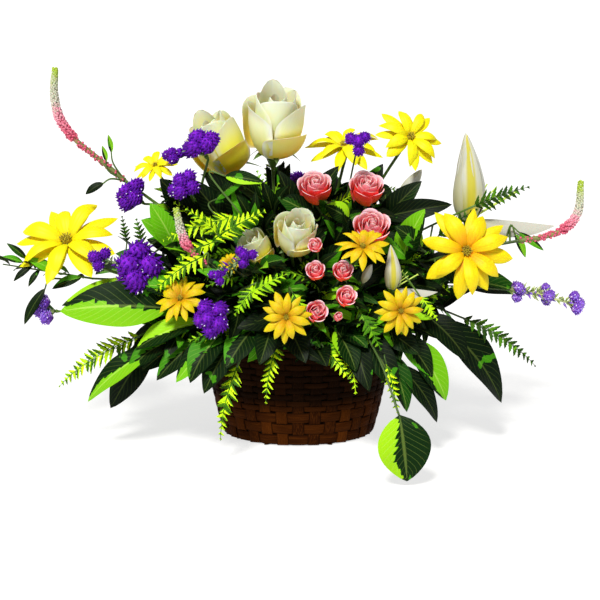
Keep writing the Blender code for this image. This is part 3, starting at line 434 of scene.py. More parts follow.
@lru_cache(maxsize=None)
def sheet_faces(rows, columns):
    """Faces of a blade of two like sheets that share their rim and come to a point at both ends."""
    count = (rows + 1) * (columns + 1)
    top = np.arange(count).reshape(rows + 1, columns + 1)
    top[0, :] = top[0, 0]
    top[-1, :] = top[-1, 0]
    under = top + count
    for edge in (np.s_[:, 0], np.s_[:, -1], np.s_[0, :], np.s_[-1, :]):
        under[edge] = top[edge]
    faces = []
    for grid, order in ((top, (0, 1, 2, 3)), (under, (3, 2, 1, 0))):
        corners = (grid[:-1, :-1], grid[:-1, 1:], grid[1:, 1:], grid[1:, :-1])
        faces.append(np.stack([corners[number].ravel() for number in order], axis=1))
    tidy = []
    for face in np.concatenate(faces):
        kept = [int(corner) for number, corner in enumerate(face) if corner != face[number - 1]]
        tidy.append(kept + [-1] * (4 - len(kept)))
    faces = np.array(tidy)
    used = np.unique(faces[faces >= 0])
    number = np.full(2 * count + 1, -1)
    number[used] = np.arange(len(used))
    return number[faces], used


@lru_cache(maxsize=None)
def pipe_faces(rings, sides):
    """Faces of a tube of rings with a closing point at each end."""
    number = np.arange(rings * sides).reshape(rings, sides)
    after = np.roll(number, -1, axis=1)
    body = np.stack([number[:-1], after[:-1], after[1:], number[1:]], axis=-1).reshape(-1, 4)
    foot = [(rings * sides, after[0, side], number[0, side], -1) for side in range(sides)]
    head = [(rings * sides + 1, number[-1, side], after[-1, side], -1) for side in range(sides)]
    return np.concatenate([body, foot, head])


class Pile:
    """The growing mesh of one piece.

    marks hold, for the materials: how far along, how far across, the tone, and which side of the blade.
    """

    def __init__(self):
        self.points = []
        self.marks = []
        self.faces = []
        self.finish = []
        self.size = 0

    def add(self, points, marks, faces, finish=0):
        """Adds points and the faces between them; a corner of -1 leaves a face with three corners."""
        self.points.append(points)
        self.marks.append(marks)
        self.faces.append(np.where(faces >= 0, faces + self.size, -1))
        self.finish.append(np.full(len(faces), finish))
        self.size += len(points)

    def sheet(self, shape, rows, columns, thick=0.5 * MM, tone=0.5, finish=0, matrix=None, end=1):
        """A closed thin blade of the surface shape(u, v), u from root to tip and v from -1 to 1 across.

        end is the along mark that the tip gets.
        """
        u, v = np.meshgrid(np.linspace(0, 1, rows + 1), np.linspace(-1, 1, columns + 1), indexing="ij")
        middle = shape(u, v)
        normal = unit(np.cross(np.gradient(middle, axis=1), np.gradient(middle, axis=0)))
        full = np.sqrt(np.clip(8 * u * (1 - u), 0, 1)) * (1 - v ** 4)
        lift = normal * (thick / 2 * full)[..., None]
        faces, used = sheet_faces(rows, columns)
        points = np.concatenate([(middle + lift).reshape(-1, 3), (middle - lift).reshape(-1, 3)])[used]
        top = np.stack([u * end, v / 2 + 0.5, tone + 0 * u, 0 * u], axis=-1).reshape(-1, 4)
        marks = np.concatenate([top, top + (0, 0, 0, 1)])[used]
        self.add(moved(points, matrix), marks, faces, finish)

    def pipe(self, points, radii, sides=8, tone=0.5, finish=0, matrix=None):
        """A round tube through points, closed at both ends."""
        points = np.array([tuple(point) for point in points])
        radii = np.broadcast_to(np.array(radii, float), len(points))
        along = unit(np.gradient(points, axis=0))
        aside = np.cross(along[0], (0.3, 0.9, 0.31))
        turn = np.linspace(0, math.tau, sides, endpoint=False)[:, None]
        rings = []
        for place, way, radius in zip(points, along, radii):
            aside = unit(aside - way * aside.dot(way))
            other = np.cross(way, aside)
            rings.append(place + radius * (np.cos(turn) * aside + np.sin(turn) * other))
        ends = [points[0] - along[0] * radii[0] * 0.4, points[-1] + along[-1] * radii[-1] * 0.4]
        body = np.concatenate(rings + [np.array(ends)])
        marks = np.zeros((len(body), 4))
        marks[:-2, 0] = np.repeat(np.linspace(0, 1, len(points)), sides)
        marks[-1, 0] = 1
        marks[:-2, 1] = np.tile(np.linspace(0, 1, sides), len(points))
        marks[:, 2] = tone
        self.add(moved(body, matrix), marks, pipe_faces(len(points), sides), finish)

    def lathe(self, profile, sides=10, tone=0.5, finish=0, matrix=None, size=1):
        """A round body about Z from (radius, height) pairs, foot first, as parts of size."""
        self.pipe([(0, 0, height * size) for _, height in profile], [radius * size for radius, _ in profile],
                  sides, tone, finish, matrix)

    def piece(self, name, nodes, slot, finishes):
        """The finished object, which stands for its CAD nodes."""
        points = np.concatenate(self.points)
        faces = np.concatenate(self.faces)
        corners = np.where(faces[:, 3] < 0, 3, 4)
        loops = faces[faces >= 0]
        mesh = bpy.data.meshes.new(name)
        mesh.vertices.add(len(points))
        mesh.vertices.foreach_set("co", points.astype(np.float32).ravel())
        mesh.loops.add(len(loops))
        mesh.loops.foreach_set("vertex_index", loops.astype(np.int32))
        mesh.polygons.add(len(faces))
        mesh.polygons.foreach_set("loop_start", (np.cumsum(corners) - corners).astype(np.int32))
        mesh.polygons.foreach_set("material_index", np.concatenate(self.finish).astype(np.int32))
        mesh.polygons.foreach_set("use_smooth", np.ones(len(faces), bool))
        mesh.update(calc_edges=True)
        marks = mesh.attributes.new("marks", "FLOAT_COLOR", "POINT")
        marks.data.foreach_set("color", np.concatenate(self.marks).astype(np.float32).ravel())
        mesh.set_sharp_from_angle(angle=SHARP)
        mesh.validate()
        for made in finishes:
            mesh.materials.append(made)
        obj = add_object(name, mesh)
        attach(obj, "root")
        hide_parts(*nodes)


def moved(points, matrix):
    """The points, carried by the matrix if there is one."""
    if matrix is None:
        return points
    turn = np.array(matrix.to_3x3())
    return points @ turn.T + np.array(matrix.translation)


def polar(out, angle, height):
    """Points at a distance out from Z, at an angle about it."""
    return np.stack([out * np.cos(angle), out * np.sin(angle), height], axis=-1)


def turned(out, side, high, angle):
    """Points at a distance out and aside from Z, on a line that is turned about it."""
    return np.stack([out * math.cos(angle) - side * math.sin(angle),
                     out * math.sin(angle) + side * math.cos(angle), high], axis=-1)


# ---------------------------------------------------------------- materials

class Shader:
    """A material whose colour, roughness and bump come from nodes."""

    def __init__(self, name, roughness=0.5, **constants):
        self.material = bpy.data.materials.new(name)
        self.material.use_nodes = True
        self.tree = self.material.node_tree
        self.surface = self.tree.nodes["Principled BSDF"]
        self.surface.inputs["Roughness"].default_value = roughness
        for label, value in constants.items():
            self.surface.inputs[label.replace("_", " ")].default_value = value
        marks = self.node("ShaderNodeAttribute")
        marks.attribute_name = "marks"
        split = self.node("ShaderNodeSeparateColor", marks.outputs["Color"])
        self.along, self.across, self.tone = split.outputs
        self.under = marks.outputs["Alpha"]
        self.place = self.node("ShaderNodeTexCoord").outputs["Object"]

    def node(self, kind, *inputs, **settings):
        made = self.tree.nodes.new(kind)
        for label, value in settings.items():
            setattr(made, label, value)
        for socket, value in zip(made.inputs, inputs):
            self.put(socket, value)
        return made

    def put(self, socket, value):
        if isinstance(value, bpy.types.NodeSocket):
            self.tree.links.new(value, socket)
        elif value is not None:
            socket.default_value = value

    def put_color(self, socket, value):
        self.put(socket, (*value, 1) if isinstance(value, tuple) else value)

    def math(self, operation, first, second=None, third=None):
        return self.node("ShaderNodeMath", first, second, third, operation=operation).outputs[0]

    def times(self, first, second):
        return self.math("MULTIPLY", first, second)

    def rest(self, value):
        """What is left of 1."""
        return self.math("SUBTRACT", 1.0, value)

    def aside(self):
        """How far from the middle line of its blade, 0 to 0.5."""
        return self.math("ABSOLUTE", self.math("SUBTRACT", self.across, 0.5))

    def varied(self, scale):
        """A number from 0 to 1 that differs from blade to blade."""
        return self.math("FRACT", self.times(self.tone, scale))

    def noise(self, scale, detail=2.0, place=None):
        made = self.node("ShaderNodeTexNoise", place or self.place)
        made.inputs["Scale"].default_value = scale
        made.inputs["Detail"].default_value = detail
        return made.outputs["Fac"]

    def band(self, value, low, high):
        """0 below low, 1 above high, smooth between."""
        made = self.node("ShaderNodeMapRange", value, low, high, 0.0, 1.0, interpolation_type="SMOOTHSTEP")
        return made.outputs[0]

    def mix(self, factor, first, second, share=1.0):
        """first where factor is 0, and as much of second as share says where it is 1."""
        made = self.node("ShaderNodeMix", data_type="RGBA")
        self.put(made.inputs[0], factor if share == 1.0 else self.times(factor, share))
        self.put_color(made.inputs[6], first)
        self.put_color(made.inputs[7], second)
        return made.outputs[2]

    def ramp(self, value, stops):
        made = self.node("ShaderNodeValToRGB", value)
        steps = made.color_ramp.elements
        while len(steps) < len(stops):
            steps.new(0.5)
        for step, (place, color) in zip(steps, stops):
            step.position = place
            step.color = (*color, 1)
        return made.outputs[0]

    def bump(self, height, strength, distance):
        made = self.node("ShaderNodeBump")
        made.inputs["Strength"].default_value = strength
        made.inputs["Distance"].default_value = distance
        self.put(made.inputs["Height"], height)
        self.tree.links.new(made.outputs[0], self.surface.inputs["Normal"])

    def paint(self, color):
        self.put_color(self.surface.inputs["Base Color"], color)
        return self.material


def petal_streaks(shader, lines):
    """Fine lines that run from root to tip, 0 to 1."""
    wave = shader.math("SINE", shader.times(shader.across, lines * math.pi))
    drift = shader.times(shader.noise(260, 3), 1.2)
    return shader.times(shader.math("ABSOLUTE", wave), drift)


def petal_finish(name, stops, edge, shade, lines=6, roughness=0.55, soft=0.30, change=None):
    """stops: colours from root to tip. edge: the colour of the rim. shade: the darker colour of its streaks and
    of random blotches, partly veining and partly painted shade.

    lines is how many streaks run along it, and change alters its colour at the end.
    """
    shader = Shader(name, roughness, Subsurface_Weight=soft, Subsurface_Scale=0.006, Specular_IOR_Level=0.25)
    rim = shader.band(shader.aside(), 0.36, 0.5)
    tip = shader.band(shader.along, 0.84, 1.0)
    color = shader.ramp(shader.along, stops)
    color = shader.mix(shader.math("MAXIMUM", rim, tip), color, edge, 0.85)
    # streaks in the shade colour, partly veining and partly painted shade, then random blotches of painted
    # shade
    color = shader.mix(petal_streaks(shader, lines), color, shade, 0.22)
    color = shader.mix(shader.band(shader.noise(60), 0.45, 0.75), color, shade, 0.25)
    shader.bump(petal_streaks(shader, lines), 0.25, 0.0006)
    return shader.paint(change(shader, color) if change else color)


def coral_shade_and_lit_blush(shader, color):
    """Coral on the outside of the outer petals of a pink rose, and a pale blush on their inside: partly the
    rose's own colour and partly painted light, the coral for the shaded outside and the blush for the lit
    inside.
    """
    coral = shader.times(shader.rest(shader.under), shader.band(shader.tone, 0.35, 0.7))
    low = shader.rest(shader.band(shader.along, 0.86, 0.98))
    corals = shader.ramp(shader.along, [(0.3, (0.98, 0.16, 0.01)), (0.75, (0.98, 0.03, 0.03))])
    color = shader.mix(shader.times(coral, low), color, corals, 0.95)
    inside = shader.times(shader.under, shader.band(shader.tone, 0.30, 0.80))
    return shader.mix(shader.times(inside, shader.band(shader.along, 0.45, 0.75)), color, (0.93, 0.56, 0.62))


def orange_root_and_shade(shader, color):
    """Orange at the root of some of a daisy's petals: partly their own colour and partly painted shade near the
    middle of the bloom.
    """
    root = shader.rest(shader.band(shader.along, 0.10, 0.62))
    root = shader.times(root, shader.band(shader.tone, 0.35, 0.75))
    return shader.mix(root, color, (0.92, 0.34, 0.00), 0.85)


def green_rib_and_grey_shade(shader, color):
    """A yellow-green rib on a folded tepal, and painted shade that greys the white the lower the tone, most on
    an opened one.
    """
    rib = shader.times(shader.rest(shader.band(shader.aside(), 0.10, 0.24)), shader.tone)
    color = shader.mix(rib, color, (0.50, 0.44, 0.01), 0.9)
    # painted shade: the lower the tone, the greyer the white
    return shader.mix(shader.math("MULTIPLY_ADD", shader.tone, -0.8, 0.8), color, (0.40, 0.40, 0.36))


# Petals: what petal_finish takes, from the stops on.
PETALS = {
    "cream": ([(0.0, (0.88, 0.42, 0.00)), (0.18, (0.93, 0.64, 0.03)), (0.36, (0.94, 0.80, 0.18)),
               (0.56, (0.88, 0.86, 0.50)), (0.74, (0.80, 0.81, 0.66))],
              (0.90, 0.90, 0.80), (0.94, 0.84, 0.30), 4),
    "butter": ([(0.0, (0.84, 0.56, 0.00)), (0.30, (0.92, 0.78, 0.01)), (0.50, (0.92, 0.84, 0.14)),
                (0.68, (0.84, 0.84, 0.52)), (0.85, (0.76, 0.78, 0.66))],
               (0.84, 0.84, 0.70), (0.92, 0.80, 0.10), 4),
    "pink": ([(0.0, (0.90, 0.03, 0.09)), (0.50, (0.95, 0.12, 0.17)), (0.78, (0.97, 0.32, 0.37)),
              (0.94, (0.97, 0.56, 0.59))],
             (0.98, 0.74, 0.73), (0.92, 0.16, 0.22), 6, 0.55, 0.30, coral_shade_and_lit_blush),
    # the orange roots of the yellow petals are partly their own colour and partly painted shade near the middle
    # of the bloom
    "yellow": ([(0.0, (0.78, 0.30, 0.00)), (0.16, (0.82, 0.46, 0.00)), (0.40, (0.85, 0.60, 0.00))],
               (0.86, 0.68, 0.00), (0.80, 0.46, 0.00), 6, 0.55, 0.30, orange_root_and_shade),
    # a lighter yellow without orange roots for the sunlit daisies: partly their own colour, partly painted
    # sunlight
    "sunlit_lemon": ([(0.0, (0.82, 0.52, 0.00)), (0.2, (0.84, 0.70, 0.00))], (0.85, 0.76, 0.00), (0.82, 0.62, 0.00)),
    "gold": ([(0.0, (0.42, 0.15, 0.00)), (0.25, (0.60, 0.31, 0.00)), (0.60, (0.70, 0.48, 0.00))],
             (0.77, 0.59, 0.00), (0.50, 0.24, 0.00)),
    "purple": ([(0.0, (0.01, 0.00, 0.03)), (0.40, (0.06, 0.00, 0.20)), (0.80, (0.13, 0.00, 0.40))],
               (0.22, 0.01, 0.60), (0.04, 0.00, 0.14), 6, 0.8),
    "lavender": ([(0.0, (0.05, 0.01, 0.18)), (0.40, (0.15, 0.03, 0.42)), (0.80, (0.32, 0.12, 0.70))],
                 (0.58, 0.40, 0.86), (0.07, 0.01, 0.26), 6, 0.8),
    "white": ([(0.0, (0.40, 0.42, 0.03)), (0.22, (0.56, 0.54, 0.14)), (0.50, (0.56, 0.56, 0.46))],
              (0.58, 0.58, 0.54), (0.50, 0.50, 0.36), 6, 0.5, 0.04, green_rib_and_grey_shade),
}
# Small parts of blooms: the scale of the noise that mixes two colours, and the two.
MOTTLED = {
    "calyx": (300, (0.02, 0.07, 0.01), (0.24, 0.32, 0.12)),
    "pale_calyx": (300, (0.20, 0.30, 0.06), (0.52, 0.58, 0.26)),
    "fleck": (400, (0.70, 0.62, 0.90), (0.92, 0.90, 0.98)),
    "pistil": (400, (0.40, 0.56, 0.06), (0.60, 0.74, 0.14)),
}
SPIKE_STOPS = [(0.0, (0.10, 0.18, 0.02)), (0.38, (0.20, 0.22, 0.03)), (0.43, (0.70, 0.07, 0.18)),
               (0.63, (0.88, 0.34, 0.46)), (0.70, (0.66, 0.60, 0.54)), (0.80, (0.56, 0.60, 0.46)),
               (0.90, (0.52, 0.60, 0.34)), (0.96, (0.38, 0.58, 0.01))]
# Colours of leaves and ferns from dark to lime; the near-black end is painted shade.
LEAF_STOPS = [(0.0, (0.001, 0.005, 0.001)), (0.20, (0.002, 0.016, 0.001)), (0.38, (0.010, 0.075, 0.002)),
              (0.65, (0.07, 0.33, 0.004)), (1.0, (0.29, 0.58, 0.007))]
FERN_STOPS = [(0.0, (0.006, 0.03, 0.002)), (0.35, (0.05, 0.20, 0.003)), (0.65, (0.30, 0.62, 0.004)),
              (1.0, (0.58, 0.84, 0.006))]


def leaf_veins(shader, pairs):
    """1 on the midrib and the side veins of a leaf, 0 between them."""
    aside = shader.aside()
    rib = shader.rest(shader.band(aside, 0.012, 0.045))
    slant = shader.math("SUBTRACT", shader.along, shader.times(aside, 0.55))
    wave = shader.math("ABSOLUTE", shader.math("SINE", shader.times(slant, pairs * math.pi)))
    side = shader.rest(shader.band(wave, 0.05, 0.22))
    fade = shader.rest(shader.band(aside, 0.36, 0.5))
    return shader.math("MAXIMUM", rib, shader.times(side, shader.times(fade, 0.7)))


def cast_shade(shader):
    """1 on the part of a blade that lies in shade, which has a jagged edge; it differs from leaf to leaf."""
    slope = shader.times(shader.math("SUBTRACT", shader.varied(37.7), 0.5), 1.4)
    side = shader.math("GREATER_THAN", shader.varied(57.7), 0.5)
    across = shader.math("ABSOLUTE", shader.math("SUBTRACT", side, shader.across))
    line = shader.math("MULTIPLY_ADD", shader.along, slope, across)
    jag = shader.math("FRACT", shader.times(shader.along, 9.0))
    line = shader.math("MULTIPLY_ADD", jag, 0.07, line)
    line = shader.math("MULTIPLY_ADD", shader.noise(60, 3), 0.25, line)
    line = shader.math("SUBTRACT", line, shader.times(shader.varied(91.3), 0.6))
    return shader.band(line, 0.44, 0.47)


def leaf_finish(name, stops, vein, pairs):
    """stops: colours from a dark leaf to a lime one, the darkest of them painted shade; the leaf's tone, its
    painted cast shade and painted sun flecks pick among them. pairs: how many pairs of side veins.
    """
    shader = Shader(name, 0.5, Subsurface_Weight=0.05, Subsurface_Scale=0.002, Specular_IOR_Level=0.08)
    # painted sunlight: sharp flecks that light up dark leaves
    painted_sun_flecks = shader.times(shader.band(shader.noise(46, 3), 0.62, 0.65), 0.5)
    lit = shader.times(shader.math("MULTIPLY_ADD", cast_shade(shader), -0.80, 1.0), shader.tone)
    color = shader.ramp(shader.math("MAXIMUM", lit, painted_sun_flecks), stops)
    veins = shader.times(leaf_veins(shader, pairs), shader.math("MULTIPLY_ADD", lit, 0.5, 0.06))
    color = shader.mix(shader.math("MAXIMUM", veins, 0.0), color, vein)
    shader.bump(shader.math("SUBTRACT", shader.noise(380, 3), veins), 0.35, 0.0006)
    return shader.paint(color)


def spike_finish():
    """Buds of a veronica: green below, then pink, pale, and lime at the tip, mottled darker with painted shade
    for the gaps between buds.
    """
    shader = Shader("spike_bud", 0.6, Subsurface_Weight=0.08, Subsurface_Scale=0.002)
    color = shader.ramp(shader.tone, SPIKE_STOPS)
    # painted shade: darker mottling for the gaps between the buds
    return shader.paint(shader.mix(shader.noise(500), color, (0.24, 0.14, 0.10), 0.45))


def stem_finish():
    shader = Shader("stem", 0.5)
    color = shader.mix(shader.tone, (0.006, 0.03, 0.003), (0.12, 0.26, 0.02))
    return shader.paint(shader.mix(shader.noise(140, 3), color, (0.03, 0.03, 0.01), 0.5))


def eye_finish():
    """The rough middle of a daisy."""
    shader = Shader("daisy_eye", 0.8)
    color = shader.mix(shader.band(shader.noise(900), 0.4, 0.6), (0.22, 0.15, 0.01), (0.62, 0.52, 0.02))
    shader.bump(shader.noise(1400), 0.8, 0.001)
    return shader.paint(color)


def splint_finish():
    """Brown splint with grain along it, whose lighter streaks are partly grain and partly painted highlight,
    and dark edges; painted shade darkens it high on the wall, where the leaves shade it.
    """
    shader = Shader("brown_splint", 0.65, Specular_IOR_Level=0.015)
    stretched = shader.node("ShaderNodeCombineXYZ", shader.times(shader.along, 26.0),
                            shader.times(shader.across, 22.0), shader.times(shader.tone, 40.0)).outputs[0]
    grain = shader.noise(1.0, 4.0, stretched)
    color = shader.mix(shader.tone, (0.012, 0.0025, 0.0004), (0.050, 0.012, 0.0010))
    # lighter streaks along the grain, in the colour of the splints' highlights: partly grain, partly painted
    # highlight
    color = shader.mix(shader.band(grain, 0.45, 0.75), color, (0.11, 0.030, 0.003), 0.5)
    color = shader.mix(shader.band(shader.aside(), 0.38, 0.5), color, (0.004, 0.0012, 0.0003), 0.8)
    # painted shade: near-black high on the wall, where the leaves above shade the basket
    height = shader.node("ShaderNodeSeparateXYZ", shader.place).outputs[2]
    high = shader.band(height, 0.32 * WALL_TOP, 0.50 * WALL_TOP)
    color = shader.mix(high, color, (0.003, 0.0016, 0.0005), 0.78)
    shader.bump(grain, 0.4, 0.0005)
    return shader.paint(color)


def make_finishes():
    made = {name: petal_finish(name + "_petal", *looks) for name, looks in PETALS.items()}
    made["spike"] = spike_finish()
    made["leaf"] = leaf_finish("broad_leaf", LEAF_STOPS, (0.46, 0.66, 0.12), 11)
    made["fern"] = leaf_finish("fern_leaf", FERN_STOPS, (0.62, 0.84, 0.08), 3)
    made["stem"] = stem_finish()
    made["eye"] = eye_finish()
    for name, (scale, low, high) in MOTTLED.items():
        shader = Shader(name, 0.6)
        spread = shader.noise(scale)
        if name.endswith("calyx"):
            spread = shader.band(spread, 0.4, 0.6)
        made[name] = shader.paint(shader.mix(spread, low, high))
    made["splint"] = splint_finish()
    return made


# ---------------------------------------------------------------- blooms, made looking up +Z

# Which of its piece's finishes a part of a bloom has.
PETAL, GREEN, CENTRE = 0, 1, 2

# Heights and sizes as parts of half a bloom's width, counts, and how far up a spike its sparse part reaches.
ROSE_FOOT = -0.84
DAISY_EYE = 0.08
EYE_FLORETS = 24
CLUSTER_FUNNELS = 26
SPIKE_LOWER = 0.40


def rose_petal(pile, reach, petal, matrix, chance, size, blended):
    """One petal of a rose that is 2 x reach wide.

    petal is its turn and half span in degrees, rank, top, peak and lip. rank is 1 outermost and below 0 in
    the furled heart. lip is how far the rim rolls outward. In a blended rose the colour follows the height.
    """
    turn, span, rank, top, peak, lip = petal
    turn, span = math.radians(turn), math.radians(span)
    top, lip = top * reach, lip * reach
    grown = max(rank, 0)
    root = 0.06 * reach
    bulge = reach * (0.26 + 0.56 * rank)
    close = reach * 0.22 * (1 - grown)
    foot = ROSE_FOOT * reach
    wave = chance.uniform(0, math.tau)
    rise = (top - foot) / (1.9 * reach)

    def shape(u, v):
        u = 0.5 - 0.5 * np.cos(u * math.pi)
        side = v * np.sqrt(np.clip(1 - u ** 9, 0, 1)) * np.minimum(1, u * 4)
        high = u * min(1, rise * 1.5)
        swell = (1 - (1 - high) ** 3) ** 0.6
        rolled = np.clip((u - 0.78) / 0.22, 0, 1) ** 2
        out = root + (bulge - root) * swell - close * u ** 3 + 0.07 * reach * side + lip * rolled
        out = out + reach * 0.014 * np.sin(3.2 * side + wave) * u ** 2
        lift = foot + (top - foot) * u - reach * 0.08 * side * side - 0.8 * lip * rolled
        lift = lift + reach * peak * (1 - side * side) ** 2 * u ** 6
        return polar(out, turn + span * side, lift)

    pile.sheet(shape, *size, 0.5 * MM, grown, PETAL, matrix, rise if blended else 1)


def sepals(pile, reach, matrix, chance):
    """Five narrow green leaves under a rose, some of them bent back."""
    for step in range(5):
        turn = step * math.tau / 5 + chance.uniform(-0.2, 0.2)
        bend = chance.uniform(0.1, 1.3)

        def shape(u, v):
            half = reach * 0.12 * np.sin(math.pi * u ** 0.7) ** 0.8
            out = reach * (0.12 + 0.8 * u * (0.50 + 0.35 * bend * u))
            high = reach * (0.8 * u * (0.75 - 1.1 * bend * u) - 0.76)
            return polar(out, turn + v * half / np.maximum(out, reach * 0.05), high)

        pile.sheet(shape, 6, 2, 0.5 * MM, 0.5, GREEN, matrix)


def rose(pile, width, matrix, chance, petals, size, blended=False):
    reach = width / 2
    pile.lathe([(0.12, ROSE_FOOT), (0.17, -0.5), (0.05, 0.3)], 8, 0, PETAL, matrix, reach)
    for petal in petals:
        rose_petal(pile, reach, petal, matrix, chance, size, blended)
    pile.lathe([(0.04, -0.86), (0.20, -0.80), (0.22, -0.66)], 10, 0.5, GREEN, matrix, reach)
    sepals(pile, reach, matrix, chance)


def petal_rings(rings):
    """Rings of like petals: how many, rank, turn of the first, half span, top and lip."""
    return [(turn + step * 360 / count, span, rank, top + 0.03 * math.sin(2.4 * step), 0.04, lip)
            for count, rank, turn, span, top, lip in rings for step in range(count)]


HEART = [(2, -0.36, 0, 110, 0.62, 0.02), (3, -0.22, 50, 75, 0.66, 0.03), (3, -0.08, 10, 72, 0.68, 0.04)]
PINK_PETALS = petal_rings(HEART + [(3, 0.10, 40, 72, 0.68, 0.05), (4, 0.28, 10, 56, 0.66, 0.06),
                                   (4, 0.48, 60, 58, 0.60, 0.08), (5, 0.74, 20, 46, 0.56, 0.09),
                                   (5, 0.96, 54, 44, 0.48, 0.12)])
SPRAY_PETALS = petal_rings(HEART + [(3, 0.16, 40, 70, 0.68, 0.06), (4, 0.50, 12, 56, 0.62, 0.08),
                                    (5, 0.92, 54, 46, 0.44, 0.12)])
BUD_PETALS = petal_rings([(2, -0.3, 0, 100, 0.86, 0), (3, 0.05, 30, 76, 0.84, 0.02),
                          (4, 0.50, 0, 58, 0.66, 0.03)])
# A tall goblet: its front petals wrap high, and one low petal in front has folded out.
CREAM_PETALS = petal_rings(HEART[:2]) + [
    (95, 100, 0.06, 0.98, 0.01, 0.02), (215, 96, 0.16, 0.95, 0.01, 0.02), (-20, 96, 0.24, 0.94, 0.02, 0.03),
    (105, 92, 0.40, 1.06, 0.22, 0.03), (182, 84, 0.56, 0.92, 0.10, 0.04), (14, 80, 0.62, 0.90, 0.16, 0.03),
    (-82, 92, 0.58, 1.00, 0.06, 0.03), (60, 62, 0.90, 0.80, 0.12, 0.07), (-158, 66, 0.86, 0.80, 0.04, 0.08),
    (-30, 60, 0.90, 0.78, 0.10, 0.04), (135, 60, 0.98, 0.66, 0.05, 0.08), (-60, 56, 1.0, 0.20, 0.05, 0.12)]


def daisy_petal(pile, reach, turn, wide, lift, droop, tilt, tone, matrix):
    """A petal, grooved at its root, that rises and then droops to a tip that is more or less pointed."""
    inner = reach * DAISY_EYE
    point = 1.9 + 1.6 * tone

    def shape(u, v):
        full = 0.36 + 0.64 * np.sin(0.5 * math.pi * np.minimum(1, u / 0.52))
        full = full * (1 - (np.maximum(u - 0.45, 0) / 0.55) ** point)
        half = wide * np.where((u > 0) & (u < 1), full, 0)
        groove = 0.10 * half * np.cos(2.5 * math.pi * v) * (1 - u)
        high = lift * np.sin(u * math.pi * 0.8) - droop * u * u - 0.35 * half * v * v
        high = high + groove + tilt * half * v
        return turned(inner + (reach - inner) * u, half * v, high, turn)

    pile.sheet(shape, 12, 8, 0.5 * MM, tone, PETAL, matrix)


def daisy(pile, width, matrix, chance, counts, broad):
    """counts: the rings of petals, outermost first. broad: half a petal's width as a part of the reach."""
    reach = width / 2
    for layer, count in enumerate(counts):
        for step in range(count):
            sway = math.sin(2.4 * step + 1.3 * layer + 0.7)
            turn = (step + 0.5 * layer) * math.tau / count + 0.07 * sway
            size = reach * (1 - 0.10 * layer + 0.05 * sway)
            lift = reach * (0.08 + 0.20 * layer + 0.03 * sway)
            droop = reach * (0.16 + chance.uniform(-0.06, 0.12))
            wide = reach * broad * chance.uniform(0.85, 1.15)
            tilt = chance.uniform(-0.25, 0.25)
            daisy_petal(pile, size, turn, wide, lift, droop, tilt, chance.uniform(0, 1), matrix)
    daisy_eye(pile, reach, matrix)


def daisy_eye(pile, reach, matrix):
    """The domed middle, set with small florets, and the green cup below."""
    profile = [(0.07, -0.16), (0.08, -0.02), (0.07, 0.05), (0.05, 0.07), (0.02, 0.08)]
    pile.lathe(profile, 12, 0.5, CENTRE, matrix, reach)
    for step in range(EYE_FLORETS):
        part = math.sqrt((step + 0.5) / EYE_FLORETS)
        out = DAISY_EYE * reach * part
        turn = step * GOLDEN_TURN
        stand = matrix @ Matrix.Translation(ring(turn) * out + UP * (0.06 * reach))
        stand = stand @ Matrix.Rotation(turn, 4, "Z") @ Matrix.Rotation(0.6 * part, 4, "Y")
        pile.lathe([(0.012, 0), (0.016, 0.04), (0.008, 0.07)], 5, 0.7, CENTRE, stand, reach)
    pile.lathe([(0.03, -0.20), (0.16, -0.17), (0.20, -0.06)], 10, 0.5, GREEN, matrix, reach)


def funnel(pile, foot, mouth, length, matrix, tone, finish):
    """A papery funnel with a ruffled five-lobed mouth, standing on its foot."""
    def shape(u, v):
        turn = 0.999 * math.pi * v
        u = np.clip(u, 0.02, 0.98)
        out = foot + (mouth - foot) * u ** 1.6 * (1 + 0.10 * np.cos(5 * turn))
        return polar(out, turn, length * u - 0.09 * length * np.cos(5 * turn) * u ** 3)

    pile.sheet(shape, 2, 10, 0.35 * MM, tone, finish, matrix)


def statice_lumps(reach):
    """Centres and radii of the tight lumps that make a head."""
    around = 5 if reach > 18 * MM else 3
    lumps = [(Vector((0, 0, 0.26 * reach)), 0.50 * reach)]
    for step in range(around):
        turn = step * math.tau / around + 0.4
        high = (-0.10, 0.12, -0.02)[step % 3]
        lumps.append(((ring(turn) * 0.56 + UP * high) * reach, 0.46 * reach))
    return lumps


def statice(pile, width, matrix, chance):
    """A head of tight lumps, each packed with ruffled funnels, on pale stalks."""
    reach = width / 2
    foot = Vector((0, 0, -0.62 * reach))
    for centre, radius in statice_lumps(reach):
        stand = matrix @ Matrix.Translation(centre)
        profile = [(0.30, -0.8), (0.70, -0.5), (0.80, 0), (0.70, 0.5), (0.30, 0.8)]
        pile.lathe(profile, 8, 0.0, PETAL, stand, radius)
        for step in range(3):
            end = centre + ring(2.1 * step) * (0.35 * radius)
            pile.pipe([foot, (foot + end) * 0.5, end], 0.9 * MM, 5, 0.6, GREEN, matrix)
        statice_lump(pile, reach, centre, radius, matrix, chance)


